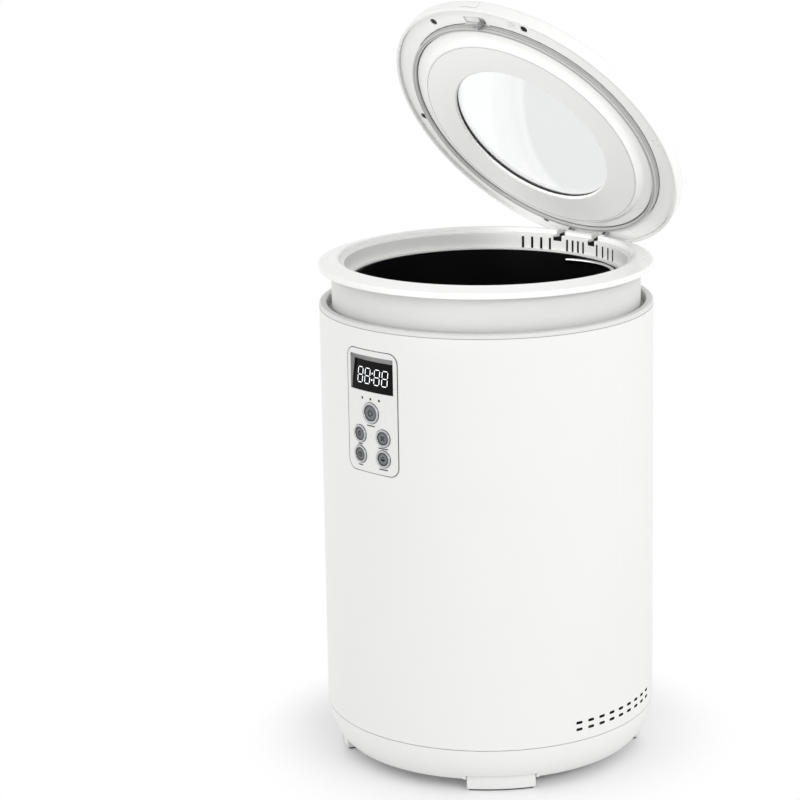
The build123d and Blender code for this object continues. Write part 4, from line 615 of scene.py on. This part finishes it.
class COMPOSTER_OT_lid(bpy.types.Operator):
    """Finish the lid's cover, underside, window, seal, screws, arms and latch"""

    bl_idname = "composter.lid"
    bl_label = "Lid"

    def execute(self, context):
        shell = context.scene.composter_shell
        # ABS from a polished mould, as on the collar.
        polished = moulded_plastic("polished_abs_lid", shell.collar, rough=0.22, grain_mm=2.5,
                                   grain_h=0.006)
        # Polypropylene again, a little shinier than the neck's; its colour is whiter, as painted
        # light on the shaded underside and inner panel.
        under = moulded_plastic("polypropylene_lid_painted_light", shell.under, rough=0.4, grain_mm=1.8,
                                grain_h=0.015, ior=1.49)
        # Silicone: soft, with a waxy sheen, grey on the seal and black round the glass.
        seal = moulded_plastic("silicone_grey", shell.seal, rough=0.5, grain_mm=1.2,
                               grain_h=0.02, ior=1.43)
        gasket = moulded_plastic("silicone_black", linear("#18181A"), rough=0.5, grain_mm=1.2,
                                 grain_h=0.02, ior=1.43)
        # Stamped steel, bright, and screws with a thin black oxide.
        steel = worked_metal("bright_steel", linear("#B9BABC"), rough=0.24, line_mm=0.9,
                             line_h=0.01, stretch=(1, 1, 6))
        dark = worked_metal("blackened_screw_steel", linear("#4A4A4C"), rough=0.35, line_mm=0.6,
                            line_h=0.01)
        dress(polished, "lid_cover", "latch_slider", "lid_bumper")
        dress(under, "lid_underside", "lid_inner_panel")
        dress(seal, "lid_seal")
        dress(gasket, "window_gasket")
        dress(steel, "hinge_arms", "hinge_pin", "hinge_spring", "latch_hook")
        dress(dark, "lid_screws")
        # Painted highlight: these screws take the lid's white in place of the dark steel.
        paint_faces("lid_screws", under,
                    lambda centre, normal: centre.x > PAINTED_HIGHLIGHT_SCREW_X and centre.y > 0)
        dress(tempered_glass(), "lid_window")
        self.lines()
        return {"FINISHED"}

    def lines(self):
        """Draw the shadow gaps beside the seal and the mould lines of the seal and panel."""
        # Shadow in a joint: matt and dark. A mould line is shallower, so it is lighter.
        finishes = {
            "gap": moulded_plastic("gap_grey", linear("#4C4C4D"), rough=0.9, grain_mm=0.8,
                                   grain_h=0.01),
            "line": moulded_plastic("mould_line_grey", linear("#9A9A99"), rough=0.6,
                                    grain_mm=0.8, grain_h=0.01),
        }
        turn = radians(LID_OPEN)
        below = Vector((0.0, -sin(turn), -cos(turn)))
        for name, finish, radius, level, width in LID_LINES:
            start = LATCH_HALF_ANGLE if name == "seal_outer_gap" else 0.0
            line = stroke(arc(radius, start - 90, 270 - start, LINE_STEPS), width)
            sheet_piece(name, line, on_lid(level), LINE_T, finishes[finish], "lid",
                        below)


def tempered_glass():
    """Tempered soda-lime glass: clear, a trace of green, with slow rolling waves."""
    wave_mm, wave_h = 60, 0.004
    material, tree = new_material("tempered_glass")
    place = add_node(tree, "ShaderNodeTexCoord")
    wave = add_node(tree, "ShaderNodeTexNoise",
                    {"Vector": place.outputs["Object"], "Scale": 1 / (wave_mm * MM),
                     "Detail": 0.0})
    tint = add_node(tree, "ShaderNodeMix",
                    {"Factor": wave.outputs["Fac"], "A": rgba(linear("#FDFEFE")),
                     "B": rgba(linear("#FEFFFF"))}, data_type="RGBA")
    roll = add_node(tree, "ShaderNodeBump",
                    {"Height": wave.outputs["Fac"], "Distance": wave_h * MM, "Strength": 0.3})
    shader = add_node(tree, "ShaderNodeBsdfPrincipled",
                      {"Base Color": tint.outputs["Result"], "Roughness": 0.0, "IOR": 1.52,
                       "Specular IOR Level": 0.2, "Transmission Weight": 1.0,
                       "Normal": roll.outputs["Normal"]})
    add_node(tree, "ShaderNodeOutputMaterial", {"Surface": shader.outputs["BSDF"]})
    return material


class COMPOSTER_OT_bucket(bpy.types.Operator):
    """Finish the bucket, its bush, the stirrer and the bail"""

    bl_idname = "composter.bucket"
    bl_label = "Bucket"

    def execute(self, context):
        dress(nonstick(context.scene.composter_shell.coating), "bucket")
        # Cast aluminium under the same coating, worn a little lighter.
        dress(moulded_plastic("coated_cast_aluminium", linear("#1B1B1D"), rough=0.42,
                              grain_mm=1.2, grain_h=0.03), "agitator")
        # Steel, drawn for the bail and turned for the spindle: bright, with fine lines.
        dress(worked_metal("drawn_steel_wire", linear("#DADBDC"), rough=0.16, line_mm=1.2,
                           line_h=0.006), "bail_handle")
        dress(worked_metal("turned_steel", linear("#B9BABC"), rough=0.3, line_mm=0.7,
                           line_h=0.01, stretch=(1, 1, 8)), "drive_spindle")
        # Nylon of the grip: satin black with a fine grain. Acetal is a little smoother.
        dress(moulded_plastic("nylon_black", linear("#141415"), rough=0.4, grain_mm=0.8,
                              grain_h=0.03), "bail_grip")
        dress(moulded_plastic("acetal_black", linear("#1D1D1F"), rough=0.35, grain_mm=1.0,
                              grain_h=0.01), "bucket_bush")
        return {"FINISHED"}


def nonstick(colour):
    """Sprayed non-stick coating: near black, low sheen, with fine mica flecks."""
    # The spray's droplets and the flecks are drawn coarser than they are, to show.
    spray_mm, spray_h, fleck_mm = 1.1, 0.02, 2.2
    material, tree = new_material("nonstick_coating_black")
    place = add_node(tree, "ShaderNodeTexCoord")
    spray = add_node(tree, "ShaderNodeTexNoise",
                     {"Vector": place.outputs["Object"], "Scale": 1 / (spray_mm * MM),
                      "Detail": 2.0})
    cells = add_node(tree, "ShaderNodeTexVoronoi",
                     {"Vector": place.outputs["Object"], "Scale": 1 / (fleck_mm * MM)})
    fleck = add_node(tree, "ShaderNodeMapRange",
                     {"Value": cells.outputs["Distance"], "From Min": 0.02, "From Max": 0.09,
                      "To Min": 1.0, "To Max": 0.0})
    tint = add_node(tree, "ShaderNodeMix",
                    {"Factor": fleck.outputs["Result"], "A": rgba(colour),
                     "B": rgba(linear("#1C1C1E"))}, data_type="RGBA")
    gloss = add_node(tree, "ShaderNodeMapRange",
                     {**NOISE_SPAN, "Value": spray.outputs["Fac"],
                      "To Min": 0.46, "To Max": 0.58})
    skin = add_node(tree, "ShaderNodeBump",
                    {"Height": spray.outputs["Fac"], "Distance": spray_h * MM, "Strength": 0.6})
    shader = add_node(tree, "ShaderNodeBsdfPrincipled",
                      {"Base Color": tint.outputs["Result"], "Roughness": gloss.outputs["Result"],
                       "IOR": 1.38, "Specular IOR Level": 0.1,
                       "Normal": skin.outputs["Normal"]})
    add_node(tree, "ShaderNodeOutputMaterial", {"Surface": shader.outputs["BSDF"]})
    return material


class COMPOSTER_OT_panel(bpy.types.Operator):
    """Finish the control panel, its window, lamps, rings and keys"""

    bl_idname = "composter.panel"
    bl_label = "Control panel"

    def execute(self, context):
        shell = context.scene.composter_shell
        # ABS from a polished mould, greyer than the collar's.
        bezel = moulded_plastic("polished_abs_bezel", shell.bezel, rough=0.3, grain_mm=2.0,
                                grain_h=0.006)
        dress(bezel, "control_panel")
        # Painted shade: the same ABS, grey on the walls of the recess round the display.
        recess = moulded_plastic("painted_shade_recess_grey", linear("#8B8B8A"), rough=0.3, grain_mm=2.0,
                                 grain_h=0.006)
        paint_faces("control_panel", recess, in_recess)
        # Acrylic window with a black backing: deep black with a clear surface.
        dress(moulded_plastic("acrylic_black", linear("#040405"), rough=0.09, grain_mm=3.0,
                              grain_h=0.002, ior=1.49, specular=0.12), "display_window")
        # Smoked acrylic of the unlit lamps.
        dress(moulded_plastic("acrylic_smoke", linear("#1F2022"), rough=0.15, grain_mm=2.0,
                              grain_h=0.002, ior=1.49), "indicator_lamps")
        # Smoked chrome plating over ABS, with faint polishing lines.
        dress(worked_metal("smoked_chrome_plate", linear("#BDBEC0"), rough=0.16, line_mm=1.0,
                           line_h=0.004), "button_rings")
        # Metallic grey lacquer on the key caps.
        dress(worked_metal("metallic_grey_lacquer", linear("#7C7D7F"), rough=0.38, line_mm=0.7,
                           line_h=0.008), *(name for name, *_ in KEYS))
        return {"FINISHED"}


class COMPOSTER_OT_display(bpy.types.Operator):
    """Light the four digits and the colon on the display"""

    bl_idname = "composter.display"
    bl_label = "Display digits"

    def execute(self, context):
        panel = context.scene.composter_panel
        height, width, bar = (x / MM for x in (panel.digit_h, panel.digit_w, panel.digit_bar))
        faces = []
        for middle in DIGIT_PLACES:
            for key in SEGMENTS:
                faces += segment(middle, width, height, bar, DIGIT_GAP, key)
        faces += [dot(COLON_R, (0.0, level)) for level in COLON_LEVELS]
        sheet_piece("display_digits", faces, on_display, panel.ink_t / MM,
                    lit_bars(panel.digit_colour), "housing")
        return {"FINISHED"}


def lit_bars(colour):
    """White light-emitting bars behind a diffuser: bright, and a little uneven."""
    patch_mm = 1.5
    material, tree = new_material("white_led_segment")
    place = add_node(tree, "ShaderNodeTexCoord")
    glow = add_node(tree, "ShaderNodeTexNoise",
                    {"Vector": place.outputs["Object"], "Scale": 1 / (patch_mm * MM),
                     "Detail": 1.0})
    level = add_node(tree, "ShaderNodeMapRange",
                     {**NOISE_SPAN, "Value": glow.outputs["Fac"],
                      "To Min": 0.85, "To Max": 1.0})
    shader = add_node(tree, "ShaderNodeBsdfPrincipled",
                      {"Base Color": rgba(colour), "Roughness": 0.4,
                       "Emission Color": rgba(colour),
                       "Emission Strength": level.outputs["Result"]})
    add_node(tree, "ShaderNodeOutputMaterial", {"Surface": shader.outputs["BSDF"]})
    return material


def key_icons():
    """Generic icons of the keys, in millimetres from each cap's middle."""
    # Ring, open at the top by this angle on each side, with an upright stroke.
    opening, stem = 28, [(0, 0.9), (0, 3.4)]
    power = stroke(arc(2.4, 90 + opening, 450 - opening), 0.95) + stroke(stem, 1.0)
    # Dial that is open at its right, with a pointer.
    opening, pointer = 60, [(0.5, -0.8), (0.5, 1.2)]
    dial = stroke(arc(1.9, opening, 360 - opening), 0.9) + stroke(pointer, 0.9)
    # Four dots round a smaller one.
    dots = [dot(0.9, middle) for middle in arc(1.75, 45, 315, 3)] + [dot(0.7)]
    # Clock with two hands.
    hands = [(0, 1.4), (0, 0), (1.0, -0.8)]
    clock = ring(2.1, 0.75, steps=28) + stroke(hands, 0.8)
    # Bowl under a bar.
    bowl_v, bar_v, bar_length = 0.4, 1.7, 3.4
    bowl = [arc(2.4, 180, 360, 20, (0, bowl_v))] + pill(0, bar_v, bar_length, 0.8)
    return {"key_power": power, "key_1": dial, "key_2": dots, "key_3": clock, "key_4": bowl}


class COMPOSTER_OT_prints(bpy.types.Operator):
    """Print an icon on each key and a plain bar under it"""

    bl_idname = "composter.prints"
    bl_label = "Prints"

    def execute(self, context):
        panel = context.scene.composter_panel
        thick = panel.ink_t / MM
        # Pad-printed ink: matt, very slightly uneven.
        ink = moulded_plastic("printed_ink", panel.ink_colour, rough=0.6, grain_mm=0.5,
                              grain_h=0.004, spread=0.08)
        icons = key_icons()
        for name, side, z, cap_r, _ in KEYS:
            marks = icons[name] + ring(cap_r - CAP_EDGE, CAP_RING_W)
            sheet_piece(name + "_icon", marks, on_key(side, z), thick, ink,
                        name + "_body")
        bars = []
        for side, z, length in LABEL_BARS:
            bars += pill(side, z, length, LABEL_H)
        sheet_piece("label_bars", bars, on_panel, thick, ink, "housing")
        return {"FINISHED"}


class COMPOSTER_OT_gaps(bpy.types.Operator):
    """Draw the shadow gaps round the control panel and round each ring"""

    bl_idname = "composter.gaps"
    bl_label = "Panel gaps"

    def execute(self, context):
        # Shadow in a joint: matt and dark.
        seam = moulded_plastic("seam_grey", linear("#4A4B4C"), rough=0.9, grain_mm=0.6,
                               grain_h=0.004)
        edge = rounded_frame(PANEL_W - PANEL_INSET, PANEL_H - PANEL_INSET, PANEL_ROUND, PANEL_Z)
        gaps = stroke(edge, PANEL_GAP_W, True)
        for _, side, z, _, ring_r in KEYS:
            gaps += ring(ring_r + RING_OUTSET, RING_GAP_W, (side, z))
        thick = context.scene.composter_panel.ink_t / MM / 2
        sheet_piece("panel_gaps", gaps, on_panel, thick, seam, "housing")
        return {"FINISHED"}


class COMPOSTER_OT_works(bpy.types.Operator):
    """Finish what is inside: drive, heater, fans, filter, boards and inlet"""

    bl_idname = "composter.works"
    bl_label = "Inner works"

    def execute(self, context):
        # Zinc-plated sheet: pale grey with a faint blue and fine rolling lines.
        zinc = worked_metal("zinc_plated_sheet", linear("#B4B7BA"), rough=0.38, line_mm=1.5,
                            line_h=0.01, stretch=(1, 6, 1))
        # Die-cast aluminium, as cast: grey, uneven and dull.
        cast = worked_metal("cast_aluminium", linear("#A9AAAC"), rough=0.5, line_mm=1.6,
                            line_h=0.05)
        # Hobbed steel: darker, with fine lines along the teeth.
        gear = worked_metal("cut_gear_steel", linear("#9FA0A2"), rough=0.3, line_mm=0.8,
                            line_h=0.01, stretch=(1, 1, 6))
        # Glass-filled nylon: black, between satin and matt.
        nylon = moulded_plastic("glass_filled_nylon_black", linear("#1A1A1C"), rough=0.5,
                                grain_mm=1.3, grain_h=0.03)
        # Solder mask over fibreglass: deep green and glossy.
        mask = moulded_plastic("solder_mask_green", linear("#1D5B36"), rough=0.28, grain_mm=1.0,
                               grain_h=0.006, spread=0.06)
        dress(zinc, "well_pan", "chassis_plate", "motor")
        dress(cast, "heater_plate", "gearbox_case", "gearbox_cover", "well_sleeve")
        dress(gear, "output_gear", "idler_gear", "motor_pinion")
        dress(nylon, "exhaust_duct", "blower_housing", "blower_impeller", "carbon_filter",
              "cooling_fan_frame", "cooling_fan_rotor", "power_inlet", "interlock_switch")
        dress(mask, "power_board", "control_board")
        dress(mineral_felt(), "insulation_blanket")
        return {"FINISHED"}


def mineral_felt():
    """Needled mineral felt: pale, matt, with matted fibres."""
    tuft_mm, nap_h = 1.6, 0.5
    material, tree = new_material("mineral_felt")
    place = add_node(tree, "ShaderNodeTexCoord")
    along = add_node(tree, "ShaderNodeMapping",
                     {"Vector": place.outputs["Object"], "Scale": (1, 1, 3)})
    fibre = add_node(tree, "ShaderNodeTexNoise",
                     {"Vector": along.outputs["Vector"], "Scale": 1 / (tuft_mm * MM),
                      "Detail": 6.0})
    tint = add_node(tree, "ShaderNodeMix",
                    {"Factor": fibre.outputs["Fac"], "A": rgba(linear("#C2BCAF")),
                     "B": rgba(linear("#DCD6C9"))}, data_type="RGBA")
    nap = add_node(tree, "ShaderNodeBump",
                   {"Height": fibre.outputs["Fac"], "Distance": nap_h * MM, "Strength": 0.8})
    shader = add_node(tree, "ShaderNodeBsdfPrincipled",
                      {"Base Color": tint.outputs["Result"], "Roughness": 0.95,
                       "Sheen Weight": 0.3, "Normal": nap.outputs["Normal"]})
    add_node(tree, "ShaderNodeOutputMaterial", {"Surface": shader.outputs["BSDF"]})
    return material


def seen_share(tree):
    """Socket that is 1 where the camera sees, directly, in a reflection or through glass."""
    path = add_node(tree, "ShaderNodeLightPath")
    seen = path.outputs["Is Camera Ray"]
    for ray in ("Is Glossy Ray", "Is Transmission Ray"):
        seen = add_node(tree, "ShaderNodeMath", {0: seen, 1: path.outputs[ray]},
                        operation="MAXIMUM").outputs[0]
    return seen


def around(azimuth, reach, height):
    """Point at a level distance from the body's axis, by its azimuth from the front."""
    return Vector((reach * sin(radians(azimuth)), -reach * cos(radians(azimuth)), height))


def hang_lamp(name, kind, place, aim, power, **form):
    """Add a lamp at a place, aimed at a point."""
    light = bpy.data.lights.new(name, kind)
    light.energy = power
    for key, value in form.items():
        setattr(light, key, value)
    item = bpy.data.objects.new(name, light)
    bpy.context.scene.collection.objects.link(item)
    item.location = place
    item.rotation_euler = (aim - item.location).to_track_quat("-Z", "Y").to_euler()


class COMPOSTER_OT_stage(bpy.types.Operator):
    """Build the floor, the lamps, the world and the camera"""

    bl_idname = "composter.stage"
    bl_label = "Studio"

    def execute(self, context):
        studio = context.scene.composter_studio
        self.floor(studio)
        self.lamps(studio)
        self.world(studio)
        self.camera(studio)
        return {"FINISHED"}

    def floor(self, studio):
        """Pale floor that shows white to the camera and keeps the shadow near the feet."""
        mesh = bpy.data.meshes.new("floor")
        half = studio.floor / 2
        corners = [(-half, -half, 0), (half, -half, 0), (half, half, 0), (-half, half, 0)]
        mesh.from_pydata(corners, [], [(0, 1, 2, 3)])
        item = bpy.data.objects.new("floor", mesh)
        bpy.context.scene.collection.objects.link(item)
        material, tree = new_material("white_floor")
        paint = add_node(tree, "ShaderNodeBsdfDiffuse", {"Color": rgba(linear("#F6F6F6"))})
        coords = add_node(tree, "ShaderNodeTexCoord")
        far = add_node(tree, "ShaderNodeVectorMath", {0: coords.outputs["Object"]},
                       operation="LENGTH")
        fade = add_node(tree, "ShaderNodeMapRange",
                        {"Value": far.outputs["Value"], "From Min": FADE[0],
                         "From Max": FADE[1]},
                        interpolation_type="SMOOTHSTEP")
        white = add_node(tree, "ShaderNodeEmission", {"Strength": 1.0})
        share = add_node(tree, "ShaderNodeMath", {0: seen_share(tree),
                                                  1: fade.outputs["Result"]},
                         operation="MULTIPLY")
        mixed = add_node(tree, "ShaderNodeMixShader", {0: share.outputs[0],
                                                       1: paint.outputs[0],
                                                       2: white.outputs[0]})
        add_node(tree, "ShaderNodeOutputMaterial", {"Surface": mixed.outputs["Shader"]})
        mesh.materials.append(material)

    def lamps(self, studio):
        """Soft boxes round the object, aimed at its middle, and narrow lamps on the lid."""
        middle = Vector((0.0, 0.0, MIDDLE_Z))
        for name, azimuth, rise, reach, width, height, power in SOFT_BOXES:
            place = around(azimuth, reach * cos(radians(rise)),
                           MIDDLE_Z + reach * sin(radians(rise)))
            hang_lamp(name, "AREA", place, middle, power * studio.lamp,
                      shape="RECTANGLE", size=width, size_y=height)
        for name, azimuth, reach, height, aim_y, aim_z, cone, power in LID_LAMPS:
            hang_lamp(name, "SPOT", around(azimuth, reach, height),
                      Vector((0.0, aim_y, aim_z)), power * studio.lamp,
                      spot_size=radians(cone), spot_blend=SPOT_BLEND,
                      shadow_soft_size=SPOT_RADIUS)

    def world(self, studio):
        """White where it is seen, and an even soft light on the object."""
        world = bpy.data.worlds.new("studio")
        bpy.context.scene.world = world
        world.use_nodes = True
        tree = world.node_tree
        tree.nodes.clear()
        soft = add_node(tree, "ShaderNodeBackground",
                        {"Color": rgba((1.0, 1.0, 1.0)), "Strength": studio.sky})
        bright = add_node(tree, "ShaderNodeBackground",
                          {"Color": rgba((1.0, 1.0, 1.0)), "Strength": 1.0})
        mixed = add_node(tree, "ShaderNodeMixShader", {0: seen_share(tree),
                                                       1: soft.outputs[0],
                                                       2: bright.outputs[0]})
        add_node(tree, "ShaderNodeOutputWorld", {"Surface": mixed.outputs["Shader"]})

    def camera(self, studio):
        """Long lens from the right front, a little above the collar."""
        data = bpy.data.cameras.new("camera")
        data.lens = studio.lens
        data.sensor_width = SENSOR_MM
        data.shift_x = studio.shift
        item = bpy.data.objects.new("camera", data)
        bpy.context.scene.collection.objects.link(item)
        turn = Matrix.Rotation(studio.azimuth, 4, "Z")
        tilt = Matrix.Rotation(pi / 2 - studio.pitch, 4, "X")
        roll = Matrix.Rotation(studio.roll, 4, "Z")
        place = turn @ Vector((0.0, -studio.distance, studio.height))
        item.matrix_world = Matrix.Translation(place) @ turn @ tilt @ roll
        bpy.context.scene.camera = item
        bpy.context.scene.view_settings.view_transform = "Standard"


STEPS = ("housing", "lid", "bucket", "panel", "display", "prints", "gaps", "works", "stage")


class COMPOSTER_PT_sidebar(bpy.types.Panel):
    """Sidebar panel that lists the steps and their sizes and colours."""

    bl_label = "Composter"
    bl_idname = "COMPOSTER_PT_sidebar"
    bl_space_type = "VIEW_3D"
    bl_region_type = "UI"
    bl_category = "Composter"

    def draw(self, context):
        column = self.layout.column(align=True)
        for step in STEPS:
            column.operator("composter." + step)
        scene = context.scene
        for group in (scene.composter_shell, scene.composter_panel, scene.composter_studio):
            box = self.layout.box()
            for name in group.__annotations__:
                box.prop(group, name)


CLASSES = (ComposterShell, ComposterPanel, ComposterStudio, COMPOSTER_OT_housing,
           COMPOSTER_OT_lid, COMPOSTER_OT_bucket, COMPOSTER_OT_panel, COMPOSTER_OT_display,
           COMPOSTER_OT_prints, COMPOSTER_OT_gaps, COMPOSTER_OT_works, COMPOSTER_OT_stage,
           COMPOSTER_PT_sidebar)


def register():
    """Add the classes, and their settings on the scene."""
    for item in CLASSES:
        bpy.utils.register_class(item)
    bpy.types.Scene.composter_shell = bpy.props.PointerProperty(type=ComposterShell)
    bpy.types.Scene.composter_panel = bpy.props.PointerProperty(type=ComposterPanel)
    bpy.types.Scene.composter_studio = bpy.props.PointerProperty(type=ComposterStudio)


def unregister():
    """Take the settings and the classes away again."""
    del bpy.types.Scene.composter_studio
    del bpy.types.Scene.composter_panel
    del bpy.types.Scene.composter_shell
    for item in reversed(CLASSES):
        bpy.utils.unregister_class(item)


def main():
    """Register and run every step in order."""
    register()
    for step in STEPS:
        getattr(bpy.ops.composter, step)()


if __name__ == "__main__":
    main()
